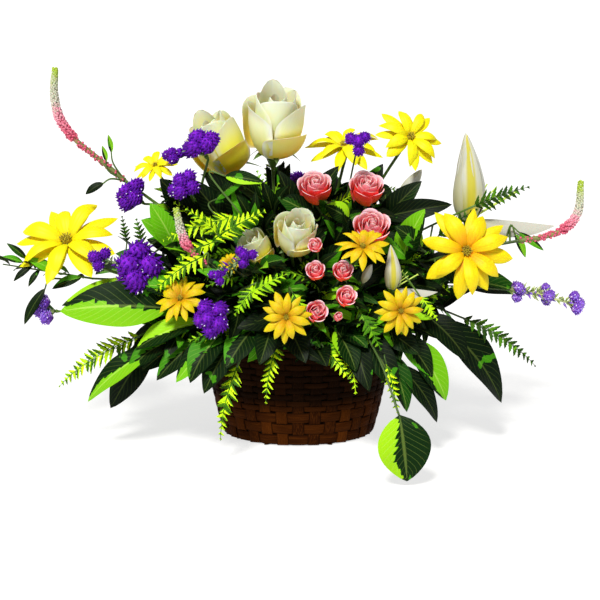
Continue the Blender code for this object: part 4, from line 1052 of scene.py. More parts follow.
def statice_lump(pile, reach, centre, radius, matrix, chance):
    """The funnels of one lump: purple, green low down, and some with a white flower in the mouth."""
    mouth = max(2.5 * MM, 0.30 * radius)
    count = min(44, round(4.6 * (radius / mouth) ** 2))
    for step in range(count):
        height = 1 - 1.55 * (step + 0.5) / count
        side = math.sqrt(max(0.0, 1 - height * height))
        outward = ring(step * GOLDEN_TURN) * side + UP * height
        length = radius * chance.uniform(0.42, 0.60)
        seat = centre + outward * (0.55 * radius)
        floret = matrix @ facing_matrix(seat, outward + seat / reach * 0.5 + UP * 0.2)
        finish = GREEN if seat.z < -0.34 * reach else PETAL
        wide = mouth * chance.uniform(0.8, 1.2)
        funnel(pile, 0.6 * MM, wide, length, floret, chance.uniform(0.2, 1), finish)
        if finish == PETAL and height < 0.3 and chance.random() < 0.22:
            x, y = chance.uniform(-1, 1) * MM, chance.uniform(-1, 1) * MM
            inside = floret @ Matrix.Translation((x, y, 0.55 * length))
            funnel(pile, 0.3 * MM, chance.uniform(0.6, 1.1) * MM, 0.55 * length, inside, 0.5, CENTRE)


def folded_tepal(pile, reach, turn, tone, matrix):
    """A tepal folded up against the others into a tall point. tone is how yellow its rib is; the lower it is,
    the more painted shade greys its white.
    """
    wide = 0.155 * reach

    def shape(u, v):
        half = wide * np.sin(math.pi * u ** 0.8) ** 0.9
        out = 0.19 * reach * np.sin(math.pi * u ** 0.55) ** 0.8 - 0.7 * half * v * v
        out = out + 0.03 * half * np.sin(7 * u + 2 * v)
        lean = np.stack([0.14 * reach * u * u, 0 * u, 0 * u], axis=-1)
        return turned(out, half * v, 1.02 * reach * u, turn) - lean

    pile.sheet(shape, 18, 10, 0.7 * MM, tone, PETAL, matrix)


def open_tepal(pile, reach, turn, matrix):
    """A tepal opened out flat."""
    wide = 0.13 * reach

    def shape(u, v):
        half = wide * np.sin(math.pi * u ** 0.8) ** 0.9
        out = reach * (0.04 + 0.96 * u) - 0.1 * half * v * v
        high = reach * (0.34 * u * u - 0.30 * u) + 0.55 * half * v + 0.2 * half * v * v
        return turned(out, half * v, high + 0.03 * half * np.sin(7 * u + 2 * v), turn)

    pile.sheet(shape, 18, 10, 0.7 * MM, 0.0, PETAL, matrix)


def lily(pile, width, matrix, _):
    """One tepal opened out, five still folded to a point, a knobbed style and three stamens."""
    reach = width
    open_tepal(pile, reach, 0, matrix)
    for step in range(1, 6):
        folded_tepal(pile, reach, (step - 0.5) * math.tau / 6, 1.0 if step % 2 else 0.4, matrix)
    pile.lathe([(0.03, -0.06), (0.05, 0), (0.07, 0.06)], 10, 0.5, GREEN, matrix, reach)
    style = [Vector((out * reach, 0, high * reach)) for out, high in LILY_STYLE]
    radii = np.array([0.015] * 8 + [0.020, 0.032, 0.026]) * reach
    pile.pipe(smooth_path(style, 5), radii, 8, 0.8, CENTRE, matrix)
    for turn in STAMEN_TURNS:
        end = ring(turn) * (0.34 * reach) + UP * (0.40 * reach)
        line = [(0, 0, 0.03 * reach), end * 0.5 + UP * (0.04 * reach), end]
        pile.pipe(line, 0.008 * reach, 6, 0.9, CENTRE, matrix)


def lily_bud(pile, width, matrix, _):
    """A long closed bud: six folded tepals make six soft ribs."""
    def shape(u, v):
        turn = math.pi * v
        out = 0.17 * width * np.sin(math.pi * np.clip(u, 0.01, 0.985) ** 0.9) ** 0.75
        return polar(out * (1 + 0.07 * np.cos(6 * turn)), turn, width * (u - 0.5))

    pile.sheet(shape, 20, 36, 0.3 * MM, 0.5, PETAL, matrix)


def flower_spike(pile, points, chance):
    """A tapering spike of packed buds, sparse below and closed at its tip."""
    path = smooth_path(points, 8)
    pile.pipe(path, 2.8 * MM, 8, 0, PETAL)
    pile.marks[-1][:, 2] = pile.marks[-1][:, 0]
    length = sum((b - a).length for a, b in zip(path, path[1:]))
    buds = round(length / (0.28 * MM))
    for step in range(buds):
        place, axis = point_on(path, (step + 0.5) / buds)
        part = step / buds
        if part < SPIKE_LOWER and chance.random() < 0.85 - part:
            continue
        out = axis.orthogonal().normalized()
        out.rotate(Matrix.Rotation(step * GOLDEN_TURN + chance.uniform(-0.4, 0.4), 3, axis))
        size = (6.6 - 2.6 * part ** 3) * (MM if part > SPIKE_LOWER else 0.7 * MM)
        size *= chance.uniform(0.84, 1.12) if part < 0.70 else 1
        stand = facing_matrix(place, out + axis * (0.35 + 0.5 * part ** 4))
        profile = [(0.4 * MM, 0), (0.9 * MM, 0.45 * size), (1.5 * MM, 0.75 * size), (1.1 * MM, 0.92 * size),
                   (0.3 * MM, size)]
        tone = part + chance.uniform(-0.05, 0.05)
        pile.lathe(profile, 6, min(1.0, max(0.43, tone)), PETAL, stand)


def cluster(pile, first, last, chance):
    """Pale funnels all along a stalk between two heads, a few of them in flower."""
    axis = (last - first).normalized()
    for step in range(CLUSTER_FUNNELS):
        out = axis.orthogonal().normalized()
        out.rotate(Matrix.Rotation(step * GOLDEN_TURN, 3, axis))
        seat = first.lerp(last, (step + 0.5) / CLUSTER_FUNNELS)
        stand = facing_matrix(seat, out + axis * 0.6 + UP * 0.4)
        finish = PETAL if chance.random() < 0.3 else GREEN
        funnel(pile, 0.6 * MM, chance.uniform(2.0, 3.2) * MM, chance.uniform(7, 12) * MM, stand, 0.6, finish)


cream_rose = partial(rose, petals=CREAM_PETALS, blended=True)

# Kinds of bloom: how each is made, its petals' finish, and two parts of its width: how far its foot is below
# its centre, and the radius of the cup that carries it.
BLOOM_KINDS = {
    "cream_rose": (partial(cream_rose, size=(20, 18)), "cream", 0.43, 0.10),
    "small_cream_rose": (partial(cream_rose, size=(16, 14)), "cream", 0.43, 0.10),
    "pink_rose": (partial(rose, petals=PINK_PETALS, size=(14, 12)), "pink", 0.43, 0.10),
    "spray_rose": (partial(rose, petals=SPRAY_PETALS, size=(12, 10)), "pink", 0.43, 0.10),
    "rose_bud": (partial(rose, petals=BUD_PETALS, size=(10, 8)), "pink", 0.43, 0.12),
    "daisy": (partial(daisy, counts=(8, 7), broad=0.165), "yellow", 0.10, 0.05),
    "small_daisy": (partial(daisy, counts=(7, 7), broad=0.150), "gold", 0.10, 0.06),
    "statice": (statice, "purple", 0.31, 0.06),
    "lily": (lily, "white", 0.06, 0.035),
    "lily_bud": (lily_bud, "white", 0.50, 0.06),
}


def bloom_finishes(name, kind, color):
    """The finishes of a bloom's petals, of its green parts and of its middle."""
    if name.startswith("lavender"):
        color = "lavender"
    if name in SUNLIT_DAISIES:
        color = "sunlit_lemon"
    if name in BUTTER_ROSES:
        color = "butter"
    middle = {"statice": "fleck", "lily": "pistil"}.get(kind, "eye")
    return color, "calyx" if kind == "statice" else "stem", middle


def build_blooms(finishes):
    for index, (name, kind, centre, facing, width, _) in enumerate(BLOOMS):
        make, color = BLOOM_KINDS[kind][:2]
        chance = random.Random(index)
        pile = Pile()
        if kind.endswith("cream_rose"):
            stand = level_matrix(mm(centre), facing)
        else:
            stand = facing_matrix(mm(centre), facing, LILY_TURN if kind == "lily" else index * GOLDEN_TURN)
        grown = DAISY_GROWN if name in SUNLIT_DAISIES else 1
        make(pile, grown * width * MM, stand, chance)
        if name in SIDE_HEADS:
            side, side_width = SIDE_HEADS[name]
            statice(pile, side_width * MM, facing_matrix(mm(side), facing, 1.0), random.Random(index))
            pile.pipe([mm(centre), mm(side)], STALK_RADIUS, 8, 0.5, GREEN)
        slot = "petal_" + ("lavender" if name.startswith("lavender") else color)
        looks = [finishes[key] for key in bloom_finishes(name, kind, color)]
        pile.piece("flower_" + name, [name], slot, looks)


def build_sprays(finishes):
    for number, (name, facing, heads, _) in enumerate(SPRAYS):
        chance = random.Random(SPRAY_SEED + number)
        pile = Pile()
        lavender = name.startswith("lavender")
        color, green = ("lavender", "pale_calyx") if lavender else ("purple", "calyx")
        grown = LAVENDER_GROWN if lavender else 1
        first = mm(heads[0][0])
        for step, (centre, width) in enumerate(heads):
            last = mm(centre)
            statice(pile, grown * width * MM, facing_matrix(last, facing, 0.6 * step), chance)
            if step:
                pile.pipe([first, first.lerp(last, 0.5), last], STALK_RADIUS, 8, 0.5, GREEN)
                cluster(pile, first, last, chance)
        pile.piece("flower_" + name, [name], "petal_" + color,
                   [finishes[color], finishes[green], finishes["fleck"]])


def build_spikes(finishes):
    for number, (name, points, _) in enumerate(SPIKES):
        pile = Pile()
        flower_spike(pile, [mm(point) for point in points], random.Random(SPIKE_SEED + number))
        pile.piece("flower_" + name, [name], "petal_spike", [finishes["spike"]])


# ---------------------------------------------------------------- greenery

# Which of its piece's finishes a part of a bunch has.
LEAF, STEM, FERN = 0, 1, 2


def leaf(pile, blade, chance, tone, size=(15, 6)):
    """A pointed leaf with a waved edge, folded a little along its rib and arched from base to tip."""
    along, across, upward = (np.array(way) for way in blade_ways(blade))
    length = (blade.tip - blade.base).length
    start = np.array(blade.base)
    wave = chance.uniform(0, math.tau)
    ripple = blade.width * chance.uniform(0.02, 0.05)

    def shape(u, v):
        half = blade.width / 2 * np.where((u > 0) & (u < 1), np.sin(math.pi * u ** 0.85) ** 0.8, 0)
        high = length * blade.arch * 4 * u * (1 - u) + 0.25 * half * np.abs(v)
        high = high + ripple * np.sin(9 * u + wave + 1.5 * np.sign(v)) * v * v * np.sin(math.pi * u)
        return (start + along * (length * u)[..., None] + across * (half * v)[..., None]
                + upward * high[..., None])

    pile.sheet(shape, *size, 0.6 * MM, tone, LEAF)


def frond(pile, blade, chance, tone, rows=10):
    """A fern frond: two rows of cut leaflets along an arched rib."""
    along, across, upward = (np.array(way) for way in blade_ways(blade))
    length = (blade.tip - blade.base).length
    start = np.array(blade.base)
    pairs = max(7, round(length / (6.4 * MM)))

    def rib(u):
        return start + along * (length * u) + upward * (length * blade.arch * 4 * u * (1 - u))

    pile.pipe([rib(step / 16) for step in range(17)], np.linspace(0.7, 0.3, 17) * MM, 6, tone, FERN)
    for step in range(2 * pairs):
        u = (step // 2 + 0.6) / pairs
        side = 1 if step % 2 else -1
        reach = 0.66 * blade.width * (1 - u) ** 0.6 * min(1, 0.5 + 3 * u) * chance.uniform(0.80, 1.15)
        slope = along + upward * (blade.arch * 4 * (1 - 2 * u))
        out = across * side + slope * chance.uniform(0.50, 0.95) + upward * chance.uniform(-0.35, 0.15)
        wide = min(length / pairs * 0.70, 0.34 * reach + 0.8 * MM)
        leaflet_tone = min(1, max(0, tone + chance.uniform(-0.15, 0.15)))
        leaflet(pile, rib(u), unit(out) * reach, slope * wide, upward * (0.16 * reach), leaflet_tone, rows)


def leaflet(pile, root, out, breadth, droop, tone, rows):
    """A toothed leaflet of a frond, from its root along out, with its breadth along the rib."""
    def shape(u, v):
        half = np.where(u > 0, (1 - u) ** 0.75, 0) * (0.55 + 0.45 * ((3.5 * u + 0.5) % 1))
        ahead = half * v + 0.25 * half * np.abs(v)
        return root + out * u[..., None] + breadth * ahead[..., None] - droop * (u * u)[..., None]

    pile.sheet(shape, rows, 2, 0.35 * MM, tone, FERN)


class Bunch:
    """The green pieces that stand in one hole, with the room that they take up."""

    def __init__(self, name, number):
        x, y = ROOTS[name]
        self.name = name
        self.root = Vector((x * MM, y * MM, FOAM_TOP))
        self.pile = Pile()
        self.chance = random.Random(number)
        plug = [(0.9 * PLUG_RADIUS, GAP - HOLE_DEPTH), (PLUG_RADIUS, 0), (0.8 * PLUG_RADIUS, PLUG_ABOVE)]
        self.pile.lathe(plug, 10, 0.2, STEM, Matrix.Translation(self.root))
        self.room = [(self.root, PLUG_RADIUS + GAP)]
        self.stems = []

    def add_stem(self, end, arrive, radius, cup=0.0, fork=None):
        """A stem to end, from the hole or a fork. With a cup, its last stretch widens to that radius."""
        neck = end - arrive * (1.8 * cup)
        points = [fork, neck] if fork else stem_points(self.root, neck, arrive)
        path = smooth_path(points, 5)
        radii = [radius * 0.9] * len(path)
        if cup:
            points.append(end)
            path += [neck.lerp(end, 0.5), end]
            radii += [0.5 * (radius + cup), cup]
        self.pile.pipe(path, radii, 8, self.chance.uniform(0.1, 0.9), STEM)
        self.stems.append(points)
        self.room += stem_room(points, radius)

    def add_bloom_stem(self, kind, centre, facing, width, fork=None):
        """A stem whose cup ends a hair below the foot of its bloom."""
        facing = Vector(facing).normalized()
        foot, cup = (part * width * MM for part in BLOOM_KINDS[kind][2:])
        end = mm(centre) - facing * (foot + GAP)
        self.add_stem(end, facing, min(STEM_RADIUS, 0.6 * cup), cup, fork)

    def add_own(self, make, blade, tone):
        """A leaf or frond with a stalk of its own, which runs a little way up its rib."""
        make(self.pile, blade, self.chance, tone)
        along, _, upward = blade_ways(blade)
        slope = along + upward * (4 * blade.arch)
        seat = blade.base + slope * (STALK_OVERLAP * (blade.tip - blade.base).length)
        self.add_stem(seat, slope.normalized(), PETIOLE_RADIUS)
        self.room += blade_room(blade)

    def add_joined(self, make, blade, tone):
        """A leaf or frond on a thin stalk from the nearest of the bunch's own stems."""
        make(self.pile, blade, self.chance, tone)
        base = blade.base
        places = [place for place, _ in self.room if place.z < base.z + 10 * MM]
        seat = min(places, key=lambda place: (place - base).length + (place - self.root).length * 0.3)
        along = (blade.tip - base).normalized()
        elbow = base - along * (0.35 * (base - seat).length)
        path = smooth_path([seat, elbow, base + along * (2 * MM)], 5)
        self.pile.pipe(path, np.linspace(1.2, 0.8, len(path)) * MM, 6, self.chance.uniform(0.2, 0.9), STEM)

    def add_side_leaf(self, blade):
        """A leaf that grows straight from one of the bunch's stems."""
        leaf(self.pile, blade, self.chance, self.chance.uniform(0, 0.7))
        self.room += blade_room(blade)

    def add_twig(self, start, end):
        """A thin stem with small leaves on alternate sides of its last stretch."""
        along = (end - start).normalized()
        across = along.cross(UP)
        self.add_stem(start, along, PETIOLE_RADIUS)
        radii = np.array([1, 0.8, 0.6]) * PETIOLE_RADIUS
        self.pile.pipe([start - along * MM, start.lerp(end, 0.5), end], radii, 6, 0.7, STEM)
        for step in range(TWIG_LEAVES):
            side = (-1) ** step
            base = start.lerp(end, (step + 0.5) / TWIG_LEAVES)
            tip = base + (along * 0.6 + across * (0.5 * side) - UP * (0.35 * side)) * TWIG_LEAF
            self.add_side_leaf(Blade(base, tip, 0.36 * TWIG_LEAF, lean=0.4))


def stem_room(points, radius):
    """Small balls that fill a stem: (place, radius)."""
    room = []
    for first, last in zip(points, points[1:]):
        steps = max(1, round((last - first).length / (6 * MM)))
        room += [(first.lerp(last, step / steps), radius) for step in range(1, steps + 1)]
    return room


def blade_room(blade):
    """Small balls that fill a leaf: (place, radius)."""
    return [(blade.base.lerp(blade.tip, step / 7), 0.45 * blade.width * math.sin(math.pi * (step / 7)))
            for step in range(1, 7)]


def clear_of(room, others, margin):
    """Whether every ball of room stands at least margin away from every other."""
    return all((a - b).length > ra + rb + margin for a, ra in room for b, rb in others)


def room_of_others(bunches, bunch):
    """The room that every other bunch takes up."""
    return [place for other in bunches if other is not bunch for place in other.room]


def own_room(bunch, base, margin):
    """The room of the bunch's own pieces, apart from those next to base."""
    return [place for place in bunch.room if (place[0] - base).length > margin]


def bloom_room():
    """A ball round every bloom and a row of balls along every spike."""
    room = []
    for _, kind, centre, facing, width, _ in BLOOMS:
        reach = width / 2 * MM
        if kind == "lily":
            room.append((mm(centre) + Vector(facing).normalized() * reach, 1.4 * reach))
        elif kind == "lily_bud":
            aim = Vector(facing).normalized() * (0.3 * width * MM)
            room += [(mm(centre) + aim * side, 0.3 * width * MM) for side in (-1, 0, 1)]
        else:
            room.append((mm(centre), reach))
    for _, _, heads, _ in SPRAYS:
        room += [(mm(centre), width / 2 * MM) for centre, width in heads]
    for _, points, _ in SPIKES:
        room += stem_room([mm(point) for point in points], 7 * MM)
    return room


def view_room():
    """Balls in front of each bloom, spray and spike that faces the front, which keep the view of it free."""
    room = []
    for _, _, centre, facing, width, _ in BLOOMS:
        reach = width / 2 * MM
        if facing[1] > 0.5:
            continue
        for way in (Vector(facing).normalized(), Vector((0, -1, 0.25))):
            room += [(mm(centre) + way * (reach * step), 0.85 * reach) for step in (1, 2, 3.2)]
    for _, _, heads, _ in SPRAYS:
        for centre, width in heads:
            reach = width / 2 * MM
            room += [(mm(centre) + Vector((0, -step, 0.25 * step)) * reach, reach) for step in (1, 2)]
    for _, points, _ in SPIKES:
        room += [(place + Vector((0, -14 * MM, 4 * MM)), radius)
                 for place, radius in stem_room([mm(point) for point in points], 8 * MM)]
    return room


def side_leaf(chance, stem):
    """A leaf that leaves a stem part of the way up, pointing out from the middle and a little down."""
    base, _ = point_on(stem, chance.uniform(*FILL_PART))
    outward = (base - FILL_CENTRE).normalized()
    aim = Matrix.Rotation(chance.uniform(-1.1, 1.1), 3, "Z") @ outward + UP * chance.uniform(-0.5, 0.5)
    tip = base + aim.normalized() * (chance.uniform(*FILL_LENGTH) * MM)
    return Blade(base, tip, chance.uniform(*FILL_WIDTH) * MM, chance.uniform(*FILL_ROLL), lean=0.4)


def add_collar_leaves(bunches, blooms):
    """Low leaves that reach from each hole over the rim, where nothing else stands."""
    for bunch in bunches:
        outward = math.atan2(bunch.root.y, bunch.root.x)
        for aside in COLLAR_TURNS:
            base = bunch.root + UP * (4 * MM)
            blade = Blade(base, base + ring(outward + aside) * COLLAR_LENGTH, COLLAR_WIDTH, lean=0)
            others = room_of_others(bunches, bunch)
            own = own_room(bunch, base, 2 * OWN_CLEARANCE)
            if clear_of(blade_room(blade), others + blooms + own, CLEAR):
                bunch.add_side_leaf(blade)


def add_fill_leaves(bunches, blooms):
    """Adds each side leaf that stands clear of every bloom and of every other bunch."""
    chance = random.Random(FILL_SEED)
    added = {bunch.name: 0 for bunch in bunches}
    for turn in range(FILL_TRIES):
        near = bunches[turn % len(bunches)]
        blade = side_leaf(chance, chance.choice(near.stems))
        room = blade_room(blade)
        own = own_room(near, blade.base, OWN_CLEARANCE)
        low = min(place.z - radius for place, radius in room)
        if added[near.name] == FILL_EACH or low < FOAM_TOP or not clear_of(room, own, 0):
            continue
        if clear_of(room, blooms + room_of_others(bunches, near), CLEAR):
            near.add_side_leaf(blade)
            added[near.name] += 1


class Crowd:
    """The blooms' room, and the free view that each keeps in front of it."""

    def __init__(self):
        room = bloom_room() + view_room()
        self.places = np.array([tuple(place) for place, _ in room])
        self.radii = np.array([radius for _, radius in room])

    def clear(self, blade):
        """Whether a leaf stands clear of every bloom and inside the body of greenery."""
        for place, radius in blade_room(blade) + [(blade.tip, 0)]:
            if np.any(np.linalg.norm(self.places - np.array(place), axis=1) < self.radii + 0.8 * radius):
                return False
        off = np.abs((np.array(blade.tip) - BODY_CENTRE) / BODY_REACH)
        return np.sum(off ** 3) < 1 and blade.tip.z > BODY_FOOT


def dense_leaf(chance, stem):
    """A small leaf anywhere on a stem, pointing out from the middle of the greenery."""
    base, _ = point_on(stem, chance.uniform(*DENSE_PART))
    outward = (base - Vector(BODY_CENTRE)).normalized()
    aim = Matrix.Rotation(chance.uniform(-1.5, 1.5), 3, "Z") @ outward + UP * chance.uniform(-0.7, 0.6)
    length = chance.uniform(*DENSE_LENGTH) * MM
    width = length * chance.uniform(*DENSE_WIDTH)
    return Blade(base, base + aim.normalized() * length, width, chance.uniform(*DENSE_ROLL), lean=0.7), length


def add_dense_greens(bunch, crowd):
    """Small leaves and fronds all the way up every stem; painted shade gives the leaves a darker tone towards
    the middle of the greenery.
    """
    chance = bunch.chance
    made = 0
    for turn in range(DENSE_TRIES):
        blade, length = dense_leaf(chance, chance.choice(bunch.stems))
        tone = chance.random()
        if made == DENSE_LEAVES or not crowd.clear(blade):
            continue
        made += 1
        if turn % DENSE_FROND_STEP == 4:
            frond(bunch.pile, blade._replace(width=0.5 * length, lean=1.0), chance, 0.35 + 0.65 * tone, 6)
        else:
            # painted shade: the deeper in the greenery a leaf's tip lies, the darker its tone
            lit_by_depth = min(1, ((blade.tip - Vector(BODY_CENTRE)).length / BODY_REACH[1]) ** 2)
            leaf(bunch.pile, blade, chance, lit_by_depth * tone ** 2.2, (10, 4))


def add_stems(bunches):
    """Stems of the forks, the blooms, the sprays, the twigs and the spikes."""
    for home, fork in FORKS.values():
        aim = (mm(fork) - bunches[home].root).normalized()
        bunches[home].add_stem(mm(fork) + aim * MM, aim, STEM_RADIUS)
    for _, kind, centre, facing, width, carrier in BLOOMS:
        home, fork = FORKS.get(carrier, (carrier, None))
        bunches[home].add_bloom_stem(kind, centre, facing, width, fork and mm(fork))
    for _, facing, heads, carrier in SPRAYS:
        centre, width = heads[0]
        bunches[carrier].add_bloom_stem("statice", centre, facing, width)
    for carrier, start, end in TWIGS:
        bunches[carrier].add_twig(mm(start), mm(end))
    for _, points, carrier in SPIKES:
        start = mm(points[0])
        along = (mm(points[1]) - start).normalized()
        bunches[carrier].add_stem(start - along * GAP, along, STEM_RADIUS, SPIKE_CUP)


def build_greenery(finishes):
    bunches = {name: Bunch(name, number) for number, name in enumerate(ROOTS)}
    add_stems(bunches)
    for make, table, tones in ((leaf, LEAVES, LEAF_TONES), (frond, FRONDS, FROND_TONES)):
        for (carrier, *row), tone in zip(table, tones):
            bunches[carrier].add_own(make, blade_mm(*row), tone)
    blooms = bloom_room()
    add_collar_leaves(list(bunches.values()), blooms)
    add_fill_leaves(list(bunches.values()), blooms)
    for make, table in ((leaf, MORE_LEAVES), (frond, MORE_FRONDS)):
        for carrier, *row, tone in table:
            bunches[carrier].add_joined(make, blade_mm(*row), tone)
    crowd = Crowd()
    looks = [finishes["leaf"], finishes["stem"], finishes["fern"]]
    for bunch in bunches.values():
        add_dense_greens(bunch, crowd)
        bunch.pile.piece("foliage_" + bunch.name, ["greens_" + bunch.name], "leaf_green", looks)


# ---------------------------------------------------------------- basket

# Corners of a splint's section, as parts of half its width and half its thickness, and the faces of its ends.
SECTION = np.array([(-1, -0.3), (-0.92, -1), (0.92, -1), (1, -0.3),
                    (1, 0.3), (0.92, 1), (-0.92, 1), (-1, 0.3)])
END_FACES = np.array([[0, 1, 6, 7], [1, 2, 5, 6], [2, 3, 4, 5]])


def strap(pile, path, out, aside, width, closed, tone):
    """A flat splint along path, out being the way that its face looks."""
    count = len(path)
    sides = len(SECTION)
    rings = (path[:, None] + aside[:, None] * (SECTION[:, 0] * width / 2)[None, :, None]
             + out[:, None] * (SECTION[:, 1] * WEAVE_THICK / 2)[None, :, None])
    number = np.arange(count * sides).reshape(count, sides)
    near = number if closed else number[:-1]
    far = np.roll(number, -1, axis=0) if closed else number[1:]
    corners = (near, np.roll(near, -1, axis=1), np.roll(far, -1, axis=1), far)
    quads = [np.stack(corners, axis=-1).reshape(-1, 4)]
    if not closed:
        quads += [number[0][END_FACES[:, ::-1]], number[-1][END_FACES]]
    marks = np.zeros((count, sides, 4))
    marks[..., 0] = np.linspace(0, 1, count)[:, None]
    marks[..., 1] = SECTION[:, 0] / 2 + 0.5
    marks[..., 2] = tone
    marks[..., 3] = SECTION[:, 1] < 0
    pile.add(rings.reshape(-1, 3), marks.reshape(-1, 4), np.concatenate(quads))


def on_wall(turn, height, proud):
    """Points on the woven wall, or proud of it."""
    spread = np.clip(height / WALL_TOP, 0, 1) ** 0.8
    reach = BASE_REACH + (MOUTH_REACH - BASE_REACH) * spread - WEAVE_THICK / 2 + proud
    return np.stack([reach * np.cos(turn), reach * OVAL * np.sin(turn), height], axis=-1)


def off_wall(turn):
    """The way the wall looks out at each turn."""
    return unit(np.stack([OVAL * np.cos(turn), np.sin(turn), 0 * turn], axis=-1))


def weave(phase):
    """From -1 to 1, under and over, flat over each crossing."""
    return np.tanh(WEAVE_FLATNESS * np.cos(phase))


def weave_wall(phase):
    """How proud of the wall's middle a splint stands."""
    return WEAVE_SWING * weave(phase) / math.tanh(WEAVE_FLATNESS)


def weaver_places():
    """Middle and breadth of each weaver: the lowest ones are the broad ones."""
    shares = np.where(np.arange(WEAVERS) < BROAD_WEAVERS, BROAD_SHARE, 1.0)
    edges = WEAVE_FOOT + WEAVER_SPAN * np.concatenate([[0], np.cumsum(shares)]) / shares.sum()
    return (edges[1:] + edges[:-1]) / 2, np.diff(edges)


def build_weavers(pile, chance):
    """Splints that run round the wall, in front of every other stake."""
    middles, breadths = weaver_places()
    turn = np.linspace(0, math.tau, STAKES * 6, endpoint=False)
    out = off_wall(turn)
    aside = unit(out * 0.22 + np.array((0, 0, 1.0)))
    face = unit(out - aside * np.sum(out * aside, axis=-1, keepdims=True))
    for row in range(WEAVERS):
        inner = 0 < row < WEAVERS - 1
        height = middles[row] + inner * WEAVER_WANDER * np.sin(turn * 3 + row * 2.1)
        path = on_wall(turn, height, weave_wall(turn * STAKES / 2 + row * math.pi))
        strap(pile, path, face, aside, breadths[row] * SPLINT_FILL, True, chance.uniform(0, 1))


def build_stakes(pile, chance):
    """Splints that stand in the wall, over and under the weavers by turns."""
    middles, _ = weaver_places()
    height = np.linspace(1.6 * MM, WALL_TOP, WEAVERS * 5 + 1)
    row = np.interp(height, middles, np.arange(WEAVERS))
    for stake in range(STAKES):
        turn = np.full(len(height), math.tau * stake / STAKES)
        path = on_wall(turn, height, -weave_wall(math.pi * (stake + row)))
        rise = unit(np.gradient(path, axis=0))
        aside = unit(np.cross(off_wall(turn), rise))
        strap(pile, path, np.cross(rise, aside), aside, STAKE_WIDTH, False, chance.uniform(0, 1))


def build_base(pile, chance):
    """Splints that cross under the foam, over and under by turns: first those along X, then those along Y."""
    reaches = np.array((1, OVAL)) * (BASE_REACH - 2.5 * MM)
    for way, lanes in enumerate(BASE_LANES):
        long, half = reaches[way], reaches[1 - way]
        breadth = 2 * half / lanes
        for lane in range(lanes):
            aside = (lane - (lanes - 1) / 2) * breadth
            end = long * math.sqrt(max(0.05, 1 - (aside / half) ** 2))
            run = np.linspace(-end, end, 49)
            phase = math.pi * (run * BASE_LANES[1 - way] / (2 * long) + lane + way)
            height = BASE_HEIGHT + BASE_SWING * weave(phase)
            path = np.stack([run, aside + 0 * run, height], axis=-1)
            across = (0, 1.0, 0)
            if way:
                path = path[:, (1, 0, 2)]
                across = (-1.0, 0, 0)
            up, across = (np.broadcast_to(each, path.shape) for each in ((0, 0, 1.0), across))
            strap(pile, path, up, across, 0.9 * breadth, False, chance.uniform(0, 1))


def build_basket(finishes):
    pile = Pile()
    chance = random.Random(BASKET_SEED)
    build_weavers(pile, chance)
    build_stakes(pile, chance)
    build_base(pile, chance)
    pile.piece("woven_basket", ["basket"], "basket_brown", [finishes["splint"]])


def build_rim(finishes):
    """A rolled border wrapped with a narrow splint."""
    pile = Pile()
    rounds, sides = 420, 14
    turn = np.repeat(np.linspace(0, math.tau, rounds, endpoint=False), sides)
    side = np.tile(np.linspace(0, math.tau, sides, endpoint=False), rounds)
    lash = np.abs(np.sin(turn * LASHINGS / 2 + side * 0.5))
    thick = RIM_RADIUS * (0.90 + 0.11 * lash ** 0.5)
    middle = np.stack([MOUTH_REACH * np.cos(turn), MOUTH_REACH * OVAL * np.sin(turn),
                       WALL_TOP + GAP + RIM_RADIUS + 0 * turn], axis=-1)
    points = middle + np.stack([thick * np.cos(side) * np.cos(turn), thick * np.cos(side) * np.sin(turn),
                                thick * np.sin(side)], axis=-1)
    number = np.arange(rounds * sides).reshape(rounds, sides)
    ahead = np.roll(number, -1, axis=0)
    faces = np.stack([number, ahead, np.roll(ahead, -1, axis=1), np.roll(number, -1, axis=1)], axis=-1)
    marks = np.stack([lash, side / math.tau, 0.5 + 0 * turn, 0 * turn], axis=-1)
    pile.add(points, marks, faces.reshape(-1, 4))
    pile.piece("wrapped_rim", ["basket_rim"], "basket_brown", [finishes["splint"]])


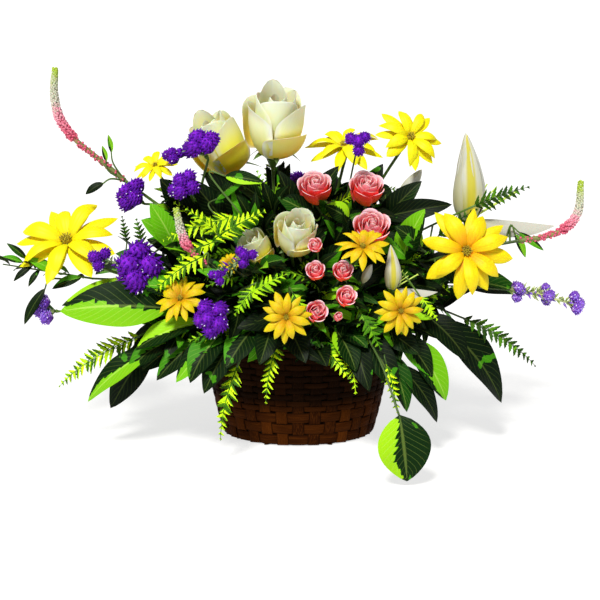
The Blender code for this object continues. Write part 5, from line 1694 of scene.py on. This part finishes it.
def dress_holder():
    """New materials on the liner and the foam, which keep their CAD shape."""
    shader = Shader("liner_plastic", 0.35)
    shader.bump(shader.noise(300), 0.1, 0.0004)
    liner = shader.paint(shader.mix(shader.noise(30), (0.008, 0.025, 0.010), (0.020, 0.050, 0.020)))
    shader = Shader("wet_foam", 0.95)
    cells = shader.noise(900, 3)
    shader.bump(cells, 0.8, 0.001)
    foam = shader.paint(shader.mix(cells, (0.004, 0.018, 0.006), (0.020, 0.060, 0.022)))
    for node, made in (("liner", liner), ("foam", foam)):
        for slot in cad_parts[node].material_slots:
            slot.material = made


# ---------------------------------------------------------------- studio

def build_floor():
    bm = bmesh.new()
    bmesh.ops.create_grid(bm, x_segments=2, y_segments=2, size=FLOOR_REACH)
    mesh = bpy.data.meshes.new("floor")
    bm.to_mesh(mesh)
    bm.free()
    shader = Shader("pale_floor", 0.9)
    mesh.materials.append(shader.paint(shader.mix(shader.noise(3), (0.34, 0.34, 0.34), (0.37, 0.37, 0.37))))
    shader.put(shader.surface.inputs["Emission Color"], WHITE)
    shader.put(shader.surface.inputs["Emission Strength"], FLOOR_GLOW)
    floor = add_object("floor", mesh)


def add_light():
    """An even white surround, and a broad key light from the front."""
    world = bpy.data.worlds.new("studio")
    world.use_nodes = True
    color, strength = world.node_tree.nodes["Background"].inputs[:2]
    color.default_value = WHITE
    strength.default_value = AMBIENT
    bpy.context.scene.world = world
    data = bpy.data.lights.new("key", "SUN")
    data.energy = KEY_POWER
    data.angle = KEY_ANGLE
    data.color = KEY_COLOR
    lamp = add_object("key", data)
    lamp.rotation_euler = KEY_FROM.to_track_quat("Z", "Y").to_euler()
    bpy.context.scene.view_settings.view_transform = "Standard"


def add_camera():
    data = bpy.data.cameras.new("camera")
    data.sensor_width = SENSOR
    data.lens = LENS
    camera = add_object("camera", data)
    away = Vector((0, -math.cos(CAMERA_RISE), math.sin(CAMERA_RISE)))
    camera.location = AIM + away * CAMERA_AWAY
    camera.rotation_euler = (AIM - camera.location).to_track_quat("-Z", "Y").to_euler()
    bpy.context.scene.camera = camera


def main():
    add_camera()
    finishes = make_finishes()
    build_basket(finishes)
    build_rim(finishes)
    dress_holder()
    build_blooms(finishes)
    build_sprays(finishes)
    build_spikes(finishes)
    build_greenery(finishes)
    build_floor()
    add_light()


main()
